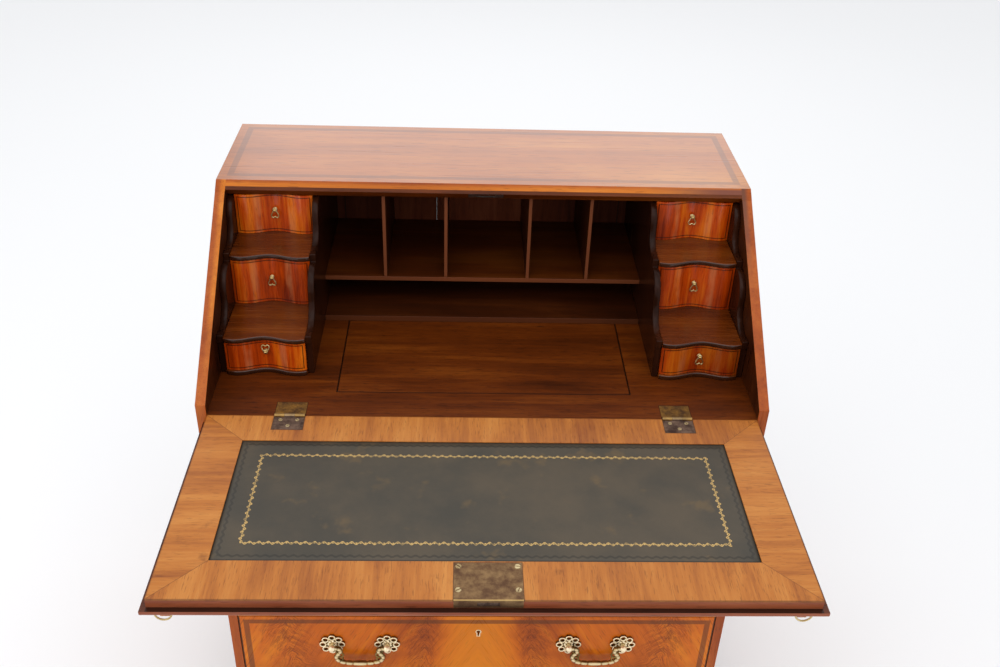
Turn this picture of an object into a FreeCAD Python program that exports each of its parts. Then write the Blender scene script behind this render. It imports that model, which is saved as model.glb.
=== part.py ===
import FreeCAD, Part
import math
import os
from FreeCAD import Vector

# A drop-front escritoire, standing with its fall open on two pulled-out lopers.
# Millimetres, +X to the right, +Y to the back, +Z up. The origin is on the floor, under the
# middle of the box that the open desk fills. The functions below take y from the front plane
# of the carcase and z from the floor.

# Carcase
carcase_width = 762.0
carcase_depth = 464.0
writing_height = 728.0
slope_rise = 220.0
slope_run = 257.0
side_thickness = 14.0
top_thickness = 20.0
top_lap = 12.0
top_bearing = 16.0
bottom_thickness = 18.0
housing_depth = 5.0
housing_stop = 10.0
back_thickness = 9.0
back_rebate = 8.0
back_board_gap = 0.3
back_board_count = 5

# Clearances
slide_clearance = 0.4
drawer_clearance = 1.0
small_drawer_clearance = 0.6
hinge_gap = 0.4
bearing_gap = 0.3
closing_gap = 1.0
fall_side_gap = 0.5
pin_clearance = 0.06
overrun = 2.0
wire_sides = 6
turned_sides = 8
half_share = 0.5

# Rows of the front, from the writing bed down
bed_thickness = 19.0
frieze_height = 44.0
rail_thickness = 16.0
rail_depth = 60.0
upper_row_height = 140.0
middle_row_height = 133.0
lower_row_height = 158.0
runner_width = 20.0
runner_end_gap = 15.0

# Base
moulding_height = 38.0
moulding_reach = 8.0
moulding_toe = 9.0
moulding_bead = 2.0
moulding_frame_width = 42.0
moulding_cove_share = 0.28
foot_proud = 5.0
foot_thickness = 20.0
foot_toe = 50.0
foot_span = 122.0
foot_rise_share = 0.757
foot_block = 30.0
foot_block_lift = 6.0
foot_curve_shares = ((0.06, 0.34), (0.32, 0.64), (0.52, 0.93))

# Writing bed and well
bed_strip_depth = 54.0
well_half_width = 202.0
well_slide_length = 198.0
well_slide_thickness = 10.0
well_slide_drop = 0.3
well_tongue_width = 5.0
well_tongue_thickness = 4.0
bed_rail_depth = 30.0
well_wall = 6.0
well_overlap = 12.0
frieze_thickness = 18.0

# Lopers
loper_width = 12.0
loper_reach = 288.0
loper_length = 420.0
loper_guide_thickness = 10.0
loper_ring_radius = 9.4
loper_ring_wire = 1.1
loper_ring_flat = 3.2
loper_ring_steps = 15
loper_eye_radius = 2.6
loper_eye_width = 4.0
loper_eye_reach = 6.0
loper_stud_radius = 1.7
loper_rose_radius = 5.0
loper_rose_thickness = 1.2
loper_eye_share = 0.447

# Fall
fall_body_thickness = 12.0
fall_lip_thickness = 7.0
fall_lip = 6.5
fall_lip_round = 3.5
banding_thickness = 2.0
border_back = 52.0
border_side = 55.5
border_front = 57.5
leather_thickness = 1.4
leather_gap = 0.5

# Fall hinges
hinge_x = 258.0
hinge_width = 40.0
hinge_leaf_depth = 29.5
hinge_leaf_thickness = 2.0
hinge_barrel = 3.0
hinge_barrel_room = 0.4
hinge_pin_radius = 1.4
hinge_knuckles = 3
hinge_knuckle_gap = 0.3

# Fall lock and its strike
lock_plate_width = 76.0
lock_plate_depth = 55.5
lock_case_width = 58.0
lock_case_depth = 42.0
lock_case_height = 9.6
lock_selvedge = 2.0
bolt_width = 24.0
bolt_thickness = 5.0
bolt_length = 24.0
bolt_travel = 6.5
bolt_depth = 4.0
bolt_room = 0.3
bolt_set = 0.3
strike_width = 50.0
strike_thickness = 1.5
strike_margin = 1.0
keyhole_radius = 3.2
keyhole_slot = 3.0
keyhole_length = 9.0
keyhole_rim = 1.3
keyhole_rim_depth = 3.0
fall_keyhole_set = 22.0
fall_keyhole_depth = 1.6

# Towers of small drawers
tower_width = 129.5
cheek_thickness = 9.0
shelf_thickness = 7.0
lower_opening = 46.0
middle_opening = 71.0
lower_front = 102.0
middle_front = 193.0
upper_front = 260.0
shelf_nosing = 3.5
cheek_proud = 4.0
cheek_block_reach = 3.0
cheek_block_depth = 11.0
cheek_block_height = 12.0
cheek_block_rise = 2.5
wave_depth = 9.0
wave_shares = ((0.0, 0.7), (0.17, 1.0), (0.5, 0.0), (0.83, 1.0), (1.0, 0.7))
ogee_swell_share = 0.13
cheek_top_set = 6.0
cheek_top_drop = 4.0
small_front_thickness = 11.0
small_lap = 4.0
small_side = 5.0
small_bottom = 4.0
small_bottom_lift = 3.0
small_side_drop = 6.0
small_end_gap = 14.0

# Drops of the small drawers
eye_reach = 4.8
eye_radius = 2.2
eye_width = 3.0
eye_stud_radius = 1.2
eye_seat = 0.05
eye_lift = 4.5
drop_half_width = 5.4
drop_length = 11.0
drop_wire = 0.9
drop_steps = 13
drop_shares = ((0.42, 0.0), (1.0, 0.65), (0.55, 1.0), (0.0, 0.82))
flipped_turn = 192.0

# Middle of the interior
slot_floor_front = 236.0
slot_floor_thickness = 9.0
pigeonhole_floor_front = 264.0
pigeonhole_floor_level = 62.0
pigeonhole_floor_thickness = 7.0
divider_thickness = 5.0
divider_set = 1.0
divider_shares = (-0.62, -0.24, 0.278, 0.653)

# Long drawers
drawer_front_thickness = 19.0
drawer_lap = 9.0
drawer_side = 9.0
drawer_side_drop = 10.0
drawer_bottom = 6.0
drawer_bottom_lift = 5.0
drawer_end_gap = 15.0
drawer_lock_width = 52.0
drawer_lock_height = 50.0
drawer_lock_thickness = 10.0
drawer_bolt_width = 20.0
drawer_bolt_height = 22.0
drawer_bolt_travel = 6.0
keyhole_drop = 33.5

# Drawer handles
handle_x = 184.0
handle_spacing = 85.0
handle_height_share = 0.373
rosette_thickness = 2.0
rosette_radius = 19.8
rosette_lobes = 8
rosette_lobe_shares = ((0.76, -0.5), (1.0, -0.22), (1.0, 0.22))
rosette_hole_shares = ((0.52, 0.0), (0.85, -0.28), (0.85, 0.28))
post_radius = 3.0
post_head = 5.5
post_head_shares = ((0.545, -0.7), (1.0, 0.0), (0.55, 0.8))
post_reach = 11.0
bail_drop = 33.5
bail_wire = 2.6
bail_steps = 17
bail_pin_radius = 2.0
bail_pin_seat = 2.0
bail_shoulder = 3.2
bail_collar = 2.4
bail_grip_length = 26.0
bail_grip_radius = 4.6
bail_grip_shares = ((-1.0, 0.6), (-0.4, 1.0), (0.4, 1.0), (1.0, 0.6))
bail_shares = ((0.72, 0.0), (0.7, 0.28), (0.8, 0.58), (0.64, 0.91), (0.3, 1.0))

# Levels and places that follow from the sizes above
half_width = carcase_width / 2
inner_x = half_width - side_thickness
back_y = carcase_depth - back_thickness
top_z = writing_height + slope_rise
top_under_z = top_z - top_thickness
bed_under_z = writing_height - bed_thickness
frieze_rail_z = bed_under_z - frieze_height
upper_row_z = frieze_rail_z - rail_thickness
upper_rail_z = upper_row_z - upper_row_height
middle_row_z = upper_rail_z - rail_thickness
middle_rail_z = middle_row_z - middle_row_height
lower_row_z = middle_rail_z - rail_thickness
bottom_z = lower_row_z - lower_row_height
base_z = bottom_z - bottom_thickness
moulding_z = bottom_z - moulding_height
foot_rise = moulding_z * foot_rise_share

# The closed fall lies at the slope: its inner face passes through the hinge line, and its lip
# lies just outside the sloping edges of the sides.
bearing = fall_body_thickness - bearing_gap
slope = math.acos(bearing / math.hypot(slope_rise, slope_run)) - math.atan2(slope_run, slope_rise)
slope_end = slope_rise * math.sin(slope) + slope_run * math.cos(slope)
rebate_reach = slope_end - top_bearing
fall_length = rebate_reach - closing_gap
fall_reach = fall_length + fall_lip
fall_half_width = inner_x - fall_side_gap
crease_z = writing_height + bearing / math.cos(slope)
front = (fall_reach - carcase_depth) / 2

loper_x = inner_x - slide_clearance - loper_width / 2
loper_guide_x = inner_x - loper_width - 2 * slide_clearance
loper_height = frieze_height - 2 * slide_clearance
loper_top_z = bed_under_z - slide_clearance
frieze_half_width = loper_guide_x - loper_guide_thickness

tower_inner_x = inner_x - tower_width
small_x0 = tower_inner_x + cheek_thickness
small_x1 = inner_x - cheek_thickness
lower_drawer_z = writing_height + shelf_thickness
lower_shelf_z = lower_drawer_z + lower_opening
middle_drawer_z = lower_shelf_z + shelf_thickness
upper_shelf_z = middle_drawer_z + middle_opening
upper_drawer_z = upper_shelf_z + shelf_thickness


# Shapes from outlines
def on_yz(y, z):
    return Vector(0, front + y, z)


def on_xz(x, z):
    return Vector(x, front, z)


def on_xy(x, y):
    return Vector(x, front + y, 0)


def outline(place, steps):
    """A closed face: a step is a point, or a pair of points for an arc through one to the other."""
    start = place(*steps[0])
    here = start
    edges = []
    for step in steps[1:]:
        if isinstance(step[0], tuple):
            through, end = (place(*p) for p in step)
            edges.append(Part.Arc(here, through, end).toShape())
        else:
            end = place(*step)
            edges.append(Part.makeLine(here, end))
        here = end
    edges.append(Part.makeLine(here, start))
    return Part.Face(Part.Wire(edges))


def across(steps, x0, x1):
    face = outline(on_yz, steps)
    face.translate(Vector(x0, 0, 0))
    return face.extrude(Vector(x1 - x0, 0, 0))


def deep(steps, y0, y1):
    face = outline(on_xz, steps)
    face.translate(Vector(0, y0, 0))
    return face.extrude(Vector(0, y1 - y0, 0))


def tall(steps, z0, z1):
    face = outline(on_xy, steps)
    face.translate(Vector(0, 0, z0))
    return face.extrude(Vector(0, 0, z1 - z0))


def block(x0, x1, y0, y1, z0, z1):
    return Part.makeBox(x1 - x0, y1 - y0, z1 - z0, Vector(x0, front + y0, z0))


def rod_x(x0, x1, y, z, radius):
    return Part.makeCylinder(radius, x1 - x0, Vector(x0, front + y, z), Vector(1, 0, 0))


def rod_y(x, y0, y1, z, radius):
    return Part.makeCylinder(radius, y1 - y0, Vector(x, front + y0, z), Vector(0, 1, 0))


def joined(*shapes):
    return shapes[0].multiFuse(list(shapes[1:])).removeSplitter()


def mirrored(shape):
    return shape.mirror(Vector(0, 0, 0), Vector(1, 0, 0))


def both_sides(*shapes):
    return [*shapes, *(mirrored(s) for s in shapes)]


def on_slope(s0, s1, n0, n1, x0, x1):
    """A block laid along the closed fall: s up the slope from the hinge line, n out of its inner face."""
    laid = Part.makeBox(x1 - x0, s1 - s0, n1 - n0, Vector(x0, s0, n0))
    laid.rotate(Vector(0, 0, 0), Vector(1, 0, 0), math.degrees(slope))
    laid.translate(Vector(0, front, writing_height))
    return laid


def slope_point(s, n):
    y = s * math.cos(slope) - n * math.sin(slope)
    z = writing_height + s * math.sin(slope) + n * math.cos(slope)
    return y, z


def ring(centre, u, v, sides):
    """A closed polygon round a centre: u and v are its radii along two axes."""
    turns = [2 * math.pi * (n + half_share) / sides for n in range(sides + 1)]
    return Part.makePolygon([centre + u * math.cos(a) + v * math.sin(a) for a in turns])


def soft_run(points, steps):
    """Points at even steps along one smooth curve through a few given ones."""
    curve = Part.BSplineCurve()
    curve.interpolate(points)
    return curve.discretize(Number=steps)


def tube(points, radius):
    """A wire of few sides, mitred at each point of a run that lies in one upright plane."""
    forward = Vector(0, radius, 0)
    sideways = (points[1] - points[0]).normalize().cross(forward)
    section = ring(points[0], forward, sideways, wire_sides)
    right_corners = 1
    return Part.makePolygon(points).makePipeShell([section], True, False, right_corners)


def turned(axis, places):
    """A small turned piece of few sides along an axis, through places of (x, y, z, radius)."""
    u = Vector(axis.z, axis.x, axis.y)
    v = Vector(axis.y, axis.z, axis.x)
    rings = [ring(Vector(x, front + y, z), u * r, v * r, turned_sides) for x, y, z, r in places]
    return Part.makeLoft(rings, True, True)


def pin_x(x0, x1, y, z, radius):
    return turned(Vector(1, 0, 0), [(x0, y, z, radius), (x1, y, z, radius)])


def pin_y(x, y0, y1, z, radius):
    return turned(Vector(0, 1, 0), [(x, y0, z, radius), (x, y1, z, radius)])


def pin_bore(x0, x1, y, z, radius):
    """A hole in which a pin of this radius turns."""
    return pin_x(x0, x1, y, z, (radius + pin_clearance) / math.cos(math.pi / turned_sides))


def save(node, shapes):
    solids = [s for shape in shapes for s in shape.Solids]
    whole = solids[0] if len(solids) == 1 else Part.makeCompound(solids)
    whole.exportStep(f"parts/{node}.step")
    print(node, len(solids), round(sum(s.Volume for s in solids)), all(s.isValid() for s in solids))


# Boards housed in the sides
def housed_board(y0, y1, z0, z1):
    """A board between the sides, with a tongue at each end that stops short of the front."""
    board = block(-inner_x, inner_x, y0, y1, z0, z1)
    reach = inner_x + housing_depth
    tongues = block(-reach, reach, y0 + housing_stop, y1, z0, z1)
    return joined(board, tongues)


def bolt_mortise(z):
    """Room above a drawer's lock for its bolt."""
    y1 = drawer_front_thickness - bolt_room
    half = drawer_bolt_width / 2 + bolt_room
    y0 = y1 - bolt_thickness - 2 * bolt_room
    return block(-half, half, y0, y1 + bolt_room, z - overrun, z + drawer_bolt_travel + bolt_room)


def drawer_rails():
    rows = (upper_row_z, middle_row_z, lower_row_z)
    rails = [housed_board(0, rail_depth, z, z + rail_thickness) for z in rows]
    return [rail.cut(bolt_mortise(z)) for rail, z in zip(rails, rows)]


def drawer_runners():
    y1 = back_y - runner_end_gap
    x0 = inner_x - runner_width
    return [
        runner
        for z in (upper_row_z, middle_row_z, lower_row_z)
        for runner in both_sides(block(x0, inner_x, rail_depth, y1, z, z + rail_thickness))
    ]


def bottom_board():
    return housed_board(0, back_y, base_z, bottom_z)


def well_groove():
    """The groove in both side boards of the bed, and the way for the slide between them."""
    reach = well_half_width + well_tongue_width
    tongue_z = writing_height - well_slide_drop - well_slide_thickness / 2
    half = well_tongue_thickness / 2 + slide_clearance
    y1 = back_y - bed_rail_depth
    return block(-reach, reach, bed_strip_depth, y1, tongue_z - half, tongue_z + half)


def hinge_room():
    """Recesses for the hinge leaves and barrels, cut out of the bed and the fall alike."""
    x0 = hinge_x - hinge_width / 2
    x1 = hinge_x + hinge_width / 2
    leaf_z = writing_height - hinge_leaf_thickness
    leaves = block(x0, x1, -hinge_leaf_depth, hinge_leaf_depth, leaf_z, writing_height + overrun)
    barrel = rod_x(x0, x1, 0, writing_height, hinge_barrel + hinge_barrel_room)
    return joined(*both_sides(leaves, barrel))


def writing_bed():
    strip = housed_board(0, bed_strip_depth, bed_under_z, writing_height)
    reach = inner_x + housing_depth
    boards = [
        block(well_half_width, reach, bed_strip_depth, back_y, bed_under_z, writing_height),
        block(-reach, -well_half_width, bed_strip_depth, back_y, bed_under_z, writing_height),
    ]
    rail_y = back_y - bed_rail_depth
    rail = block(-well_half_width, well_half_width, rail_y, back_y, bed_under_z, writing_height)
    return [strip.cut(hinge_room()), *(board.cut(well_groove()) for board in boards), rail]


def well_slide():
    half = well_half_width - slide_clearance
    y0 = bed_strip_depth + slide_clearance
    y1 = bed_strip_depth + well_slide_length
    z1 = writing_height - well_slide_drop
    z0 = z1 - well_slide_thickness
    panel = block(-half, half, y0, y1, z0, z1)
    tongue_half = half + well_tongue_width
    middle = (z0 + z1) / 2
    rise = well_tongue_thickness / 2
    return joined(panel, block(-tongue_half, tongue_half, y0, y1, middle - rise, middle + rise))


def well_tray():
    """Floor and four walls, hung under the bed."""
    half = well_half_width + well_overlap
    inside = half - well_wall
    y0 = bed_strip_depth - well_overlap
    y1 = bed_strip_depth + well_slide_length + well_overlap
    floor_z = frieze_rail_z + well_wall
    floor = block(-half, half, y0, y1, frieze_rail_z, floor_z)
    ends = both_sides(block(inside, half, y0, y1, floor_z, bed_under_z))
    front_wall = block(-inside, inside, y0, y0 + well_wall, floor_z, bed_under_z)
    back_wall = block(-inside, inside, y1 - well_wall, y1, floor_z, bed_under_z)
    return [floor, *ends, front_wall, back_wall]


def frieze_front():
    return block(-frieze_half_width, frieze_half_width, 0, frieze_thickness, frieze_rail_z, bed_under_z)


def loper_guides():
    y1 = back_y - runner_end_gap
    return both_sides(block(frieze_half_width, loper_guide_x, 0, y1, frieze_rail_z, bed_under_z))


def side_right(housed):
    lap_z = top_z - top_lap
    lap_y = (lap_z - crease_z) / math.tan(slope)
    edge = [(0, base_z), (carcase_depth, base_z), (carcase_depth, lap_z), (lap_y, lap_z), (0, crease_z)]
    board = across(edge, inner_x, half_width)
    rebate_x = inner_x + back_rebate
    rebate = block(inner_x, rebate_x, back_y, carcase_depth + overrun, base_z - overrun, top_z)
    return board.cut([rebate, *housed])


def strike_room():
    """The recess of the strike plate in the top, and the mortise behind it."""
    s1 = rebate_reach + strike_thickness
    half = strike_width / 2
    seat = on_slope(rebate_reach - overrun, s1, strike_margin, bearing - strike_margin, -half, half)
    return seat, bolt_slot(s1 - overrun, s1 + bolt_travel)


def bolt_slot(s0, s1):
    half = bolt_width / 2 + 2 * bolt_room
    n0 = bolt_depth - 2 * bolt_room
    n1 = bolt_depth + bolt_thickness + 2 * bolt_room
    return on_slope(s0, s1, n0, n1, -half, half)


def strike_plate():
    s1 = rebate_reach + strike_thickness
    half = strike_width / 2
    plate = on_slope(rebate_reach, s1, strike_margin, bearing - strike_margin, -half, half)
    return plate.cut(bolt_slot(rebate_reach - overrun, s1 + overrun))


def top_board():
    """Lapped over the sides; its front edge slopes, with a rebate for the edge of the fall."""
    corner = (slope_run, top_z)
    rebate_y, rebate_z = slope_point(rebate_reach, bearing)
    under_y = rebate_y + (rebate_z - top_under_z) * math.tan(slope)
    back_top = (carcase_depth, top_z)
    middle = [corner, back_top, (carcase_depth, top_under_z), (under_y, top_under_z), (rebate_y, rebate_z)]
    lap_z = top_z - top_lap
    lap_y = (lap_z - crease_z) / math.tan(slope)
    end = [corner, back_top, (carcase_depth, lap_z), (lap_y, lap_z)]
    laps = both_sides(across(end, inner_x, half_width))
    return joined(across(middle, -inner_x, inner_x), *laps).cut(list(strike_room()))


def back_boards():
    reach = inner_x + back_rebate
    pitch = 2 * reach / back_board_count
    return [
        block(
            -reach + pitch * n,
            -reach + pitch * (n + 1) - back_board_gap,
            back_y,
            carcase_depth,
            base_z,
            top_under_z,
        )
        for n in range(back_board_count)
    ]


# Base
def moulding_section(sign, origin):
    """The section of the base moulding, outwards along sign from a face of the carcase."""
    shoulder_z = moulding_z + moulding_toe
    cove = moulding_bead + (moulding_reach - moulding_bead) * moulding_cove_share
    middle_z = (shoulder_z + bottom_z) / 2
    outer = [
        (moulding_reach, moulding_z),
        (moulding_reach, shoulder_z),
        ((cove, middle_z), (moulding_bead, bottom_z)),
        (0, bottom_z),
        (0, base_z),
        (-moulding_frame_width, base_z),
        (-moulding_frame_width, moulding_z),
    ]

    def turned(p):
        return (origin + sign * p[0], p[1])

    return [tuple(map(turned, p)) if isinstance(p[0], tuple) else turned(p) for p in outer]


def base_moulding():
    outer = half_width + moulding_reach
    inner = half_width - moulding_frame_width
    front_plan = [
        (-outer, -moulding_reach),
        (outer, -moulding_reach),
        (inner, moulding_frame_width),
        (-inner, moulding_frame_width),
    ]
    side_plan = [
        (outer, -moulding_reach),
        (outer, carcase_depth),
        (inner, carcase_depth),
        (inner, moulding_frame_width),
    ]
    front_bar = across(moulding_section(-1, 0), -outer, outer)
    side_bar = deep(moulding_section(1, half_width), -moulding_reach, carcase_depth)
    front_piece = front_bar.common(tall(front_plan, moulding_z, bottom_z))
    side_piece = side_bar.common(tall(side_plan, moulding_z, bottom_z))
    return [front_piece, *both_sides(side_piece)]


def bracket(corner, inward):
    """The outline of a bracket foot, from its corner inwards, with an ogee cut."""
    run = foot_span - foot_toe
    points = [(corner + inward * (foot_toe + run * u), foot_rise * v) for u, v in foot_curve_shares]
    end = corner + inward * foot_span
    return [
        (corner, 0),
        (corner + inward * foot_toe, 0),
        (points[0], points[1]),
        (points[2], (end, foot_rise)),
        (end, moulding_z),
        (corner, moulding_z),
    ]


def front_foot():
    x = half_width + foot_proud
    y = -foot_proud
    t = foot_thickness
    face_plan = [(x, y), (x - t, y + t), (x - foot_span, y + t), (x - foot_span, y)]
    side_plan = [(x, y), (x, y + foot_span), (x - t, y + foot_span), (x - t, y + t)]
    face = deep(bracket(x, -1), y, y + t).common(tall(face_plan, 0, moulding_z))
    side = across(bracket(y, 1), x - t, x).common(tall(side_plan, 0, moulding_z))
    z0 = foot_block_lift
    glue_block = block(x - t - foot_block, x - t, y + t, y + t + foot_block, z0, moulding_z)
    return [face, side, glue_block]


def back_foot():
    x = half_width + foot_proud
    y = carcase_depth
    t = foot_thickness
    side = across(bracket(y, -1), x - t, x)
    brace = [
        (x - t, 0),
        (x - foot_toe, 0),
        (x - foot_span, foot_rise),
        (x - foot_span, moulding_z),
        (x - t, moulding_z),
    ]
    z0 = foot_block_lift
    glue_block = block(x - t - foot_block, x - t, y - t - foot_block, y - t, z0, moulding_z)
    return [side, deep(brace, y - t, y), glue_block]


def bracket_feet():
    return both_sides(*front_foot(), *back_foot())


# Lopers
def eye_z():
    return loper_top_z - loper_height * (1 - loper_eye_share)


def loper():
    """The right-hand loper, with the stud and eye of its ring."""
    z0 = loper_top_z - loper_height
    half = loper_width / 2
    bar = block(loper_x - half, loper_x + half, -loper_reach, loper_length - loper_reach, z0, loper_top_z)
    y = -loper_reach - loper_eye_reach
    rose = pin_y(loper_x, -loper_reach - loper_rose_thickness, -loper_reach, eye_z(), loper_rose_radius)
    stud = pin_y(loper_x, y, -loper_reach, eye_z(), loper_stud_radius)
    eye_half = loper_eye_width / 2
    eye = pin_x(loper_x - eye_half, loper_x + eye_half, y, eye_z(), loper_eye_radius)
    reach = loper_eye_width
    bore = pin_bore(loper_x - reach, loper_x + reach, y, eye_z(), loper_ring_wire)
    return [bar, joined(rose, stud, eye).cut(bore)]


def loper_ring():
    y = -loper_reach - loper_eye_reach
    drop = math.sqrt(loper_ring_radius ** 2 - loper_ring_flat ** 2)
    ends = [Vector(loper_x + side * loper_ring_flat, front + y, eye_z()) for side in (-1, 1)]
    bottom = Vector(loper_x, front + y, eye_z() - drop - loper_ring_radius)
    run = Part.Arc(ends[0], bottom, ends[1]).toShape().discretize(Number=loper_ring_steps)
    reach = loper_ring_flat + loper_ring_wire
    pin = pin_x(loper_x - reach, loper_x + reach, y, eye_z(), loper_ring_wire)
    return joined(tube(run, loper_ring_wire), pin)


# Fall
def lock_room():
    """The room that the lock takes out of the border and the core of the fall."""
    y = -fall_length
    case_half = lock_case_width / 2
    plate_half = lock_plate_width / 2
    plate_z = writing_height - banding_thickness
    case_z = writing_height - banding_thickness - lock_case_height
    plate = block(-plate_half, plate_half, y, y + lock_plate_depth, plate_z, writing_height)
    selvedge = block(-plate_half, plate_half, y, y + lock_selvedge, case_z, writing_height)
    case = block(-case_half, case_half, y, y + lock_case_depth, case_z, writing_height)
    return joined(plate, selvedge, case)


def bolt_block(room):
    """The bolt of the fall's lock, drawn back, with room all round it."""
    half = bolt_width / 2 + room
    y0 = -fall_length + bolt_set - room
    z1 = writing_height - bolt_depth + room
    z0 = writing_height - bolt_depth - bolt_thickness - room
    return block(-half, half, y0, -fall_length + bolt_set + bolt_length + room, z0, z1)


def fall_keyhole(z0, z1, grow):
    """A keyhole through the lip of the fall, its slot towards the hinges."""
    y = -fall_length + fall_keyhole_set
    half = keyhole_slot / 2 + grow
    centre = Vector(0, front + y, z0)
    round_end = Part.makeCylinder(keyhole_radius + grow, z1 - z0, centre, Vector(0, 0, 1))
    return joined(round_end, block(-half, half, y, y + keyhole_length + grow, z0, z1))


def fall_lock():
    """The lock with its bolt channel, and the liner of its keyhole in the lip."""
    lip_z = writing_height - fall_body_thickness - fall_lip_thickness
    case_z = writing_height - banding_thickness - lock_case_height
    keyway = fall_keyhole(lip_z - overrun, case_z + fall_keyhole_depth, 0)
    liner = fall_keyhole(lip_z, lip_z + keyhole_rim_depth, keyhole_rim)
    return [lock_room().cut([bolt_block(bolt_room), keyway]), liner.cut(keyway)]


def keyhole(y0, y1, z, grow):
    """A keyhole cut from y0 to y1 with its round end at z."""
    half = keyhole_slot / 2 + grow
    length = keyhole_length + grow
    slot = block(-half, half, y0, y1, z - length, z)
    return joined(rod_y(0, y0, y1, z, keyhole_radius + grow), slot)


def fall_panel():
    """The core of the fall, with a lip proud of it on three edges."""
    core_z = writing_height - banding_thickness
    rebate_z = writing_height - fall_body_thickness
    lip_z = rebate_z - fall_lip_thickness
    core = block(-fall_half_width, fall_half_width, -fall_length, -hinge_gap, rebate_z, core_z)
    lip_half = fall_half_width + fall_lip
    lip = block(-lip_half, lip_half, -fall_reach, -hinge_gap, lip_z, rebate_z)
    outer = [
        edge
        for edge in lip.Edges
        if edge.BoundBox.ZMax < rebate_z - fall_lip_thickness / 2
        and edge.BoundBox.YMin < front - hinge_gap - fall_lip
    ]
    keyway = fall_keyhole(lip_z - overrun, core_z, 0)
    liner_room = fall_keyhole(lip_z - overrun, lip_z + keyhole_rim_depth, keyhole_rim)
    rooms = [hinge_room(), lock_room(), keyway, liner_room]
    return joined(core, lip.makeFillet(fall_lip_round, outer)).cut(rooms)


def fall_banding():
    """Four borders, mitred at the corners."""
    x0 = fall_half_width - border_side
    x1 = fall_half_width
    y_back = -hinge_gap
    y_front = -fall_length
    y_in_back = -border_back
    y_in_front = -fall_length + border_front
    z0 = writing_height - banding_thickness
    plans = [
        [(-x1, y_back), (x1, y_back), (x0, y_in_back), (-x0, y_in_back)],
        [(-x1, y_front), (x1, y_front), (x0, y_in_front), (-x0, y_in_front)],
        [(x1, y_back), (x1, y_front), (x0, y_in_front), (x0, y_in_back)],
        [(-x1, y_back), (-x1, y_front), (-x0, y_in_front), (-x0, y_in_back)],
    ]
    rooms = [hinge_room(), lock_room()]
    return [tall(plan, z0, writing_height).cut(rooms) for plan in plans]


def leather_skiver():
    half = fall_half_width - border_side - leather_gap
    y0 = -fall_length + border_front + leather_gap
    z0 = writing_height - banding_thickness
    return block(-half, half, y0, -border_back - leather_gap, z0, z0 + leather_thickness)


def knuckles(first):
    """Every second knuckle of the right-hand hinge, from the first or the second."""
    pitch = hinge_width / hinge_knuckles
    x0 = hinge_x - hinge_width / 2
    gap = hinge_knuckle_gap / 2
    return [
        (x0 + pitch * n + gap, x0 + pitch * (n + 1) - gap)
        for n in range(first, hinge_knuckles, 2)
    ]


def hinge_leaf(first, side):
    """One leaf, to the back (side 1) or the front (side -1), with its own knuckles."""
    z = writing_height
    y0, y1 = sorted((side * hinge_gap, side * hinge_leaf_depth))
    x0 = hinge_x - hinge_width / 2
    x1 = hinge_x + hinge_width / 2
    plate = block(x0, x1, y0, y1, z - hinge_leaf_thickness, z)
    room = hinge_barrel + hinge_barrel_room
    clear = rod_x(x0 - overrun, x1 + overrun, 0, z, room)
    barrels = [rod_x(a, b, 0, z, hinge_barrel) for a, b in knuckles(first)]
    necks = [
        block(a, b, *sorted((0, side * (room + overrun))), z - hinge_leaf_thickness, z)
        for a, b in knuckles(first)
    ]
    bore = rod_x(x0 - overrun, x1 + overrun, 0, z, hinge_pin_radius + pin_clearance)
    return joined(plate.cut(clear), *barrels, *necks).cut(bore)


def hinge_pin():
    half = hinge_width / 2
    return rod_x(hinge_x - half, hinge_x + half, 0, writing_height, hinge_pin_radius)


# Towers
def ogee(start, end):
    """A hollow, then a swell, between two points of a cheek's front edge."""
    dy = end[0] - start[0]
    dz = end[1] - start[1]
    share = half_share / 2
    middle = (start[0] + dy * half_share, start[1] + dz * half_share)
    hollow = (
        start[0] + dy * share + dz * ogee_swell_share,
        start[1] + dz * share - dy * ogee_swell_share,
    )
    swell = (
        middle[0] + dy * share - dz * ogee_swell_share,
        middle[1] + dz * share + dy * ogee_swell_share,
    )
    return [(hollow, middle), (swell, end)]


def cheek_top():
    """Where the front edge of a cheek turns straight up to the top board."""
    return upper_front + cheek_top_set, top_under_z - cheek_top_drop


def cheek_edge():
    """The front edge of a cheek, up past both shelves, with a small block at each."""
    foot_y = lower_front - cheek_proud
    block_set = cheek_proud + cheek_block_reach
    block_rise = cheek_block_rise - cheek_block_height
    edge = [
        (foot_y, writing_height),
        (foot_y, middle_drawer_z + block_rise),
        (lower_front - block_set, middle_drawer_z + block_rise),
    ]
    levels = (
        (lower_front, middle_drawer_z, (middle_front - block_set, upper_drawer_z + block_rise)),
        (middle_front, upper_drawer_z, cheek_top()),
    )
    for front_y, shelf_z, end in levels:
        y = front_y - block_set
        block_top = shelf_z + cheek_block_rise
        step = (y + cheek_block_depth, block_top)
        edge += [(y, block_top), step, *ogee(step, end)]
    return edge


def tower_cheeks():
    top = [(cheek_top()[0], top_under_z), (back_y, top_under_z)]
    face = [*cheek_edge(), *top, (back_y, writing_height)]
    outer = across(face, small_x1, inner_x)
    inner = across(face, tower_inner_x, small_x0)
    return both_sides(outer, inner)


def wave_slab(x0, x1, y_front, y_back, z0, z1):
    """A slab with a serpentine front: two bulges with a hollow between them."""
    wave = [on_xy(x0 + (x1 - x0) * a, y_front - wave_depth * b) for a, b in wave_shares]
    curve = Part.BSplineCurve()
    curve.interpolate(wave)
    back = [on_xy(x1, y_back), on_xy(x0, y_back)]
    corners = [wave[-1], *back, wave[0]]
    lines = [Part.makeLine(a, b) for a, b in zip(corners, corners[1:])]
    face = Part.Face(Part.Wire([curve.toShape(), *lines]))
    face.translate(Vector(0, 0, z0))
    return face.extrude(Vector(0, 0, z1 - z0))


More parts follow.
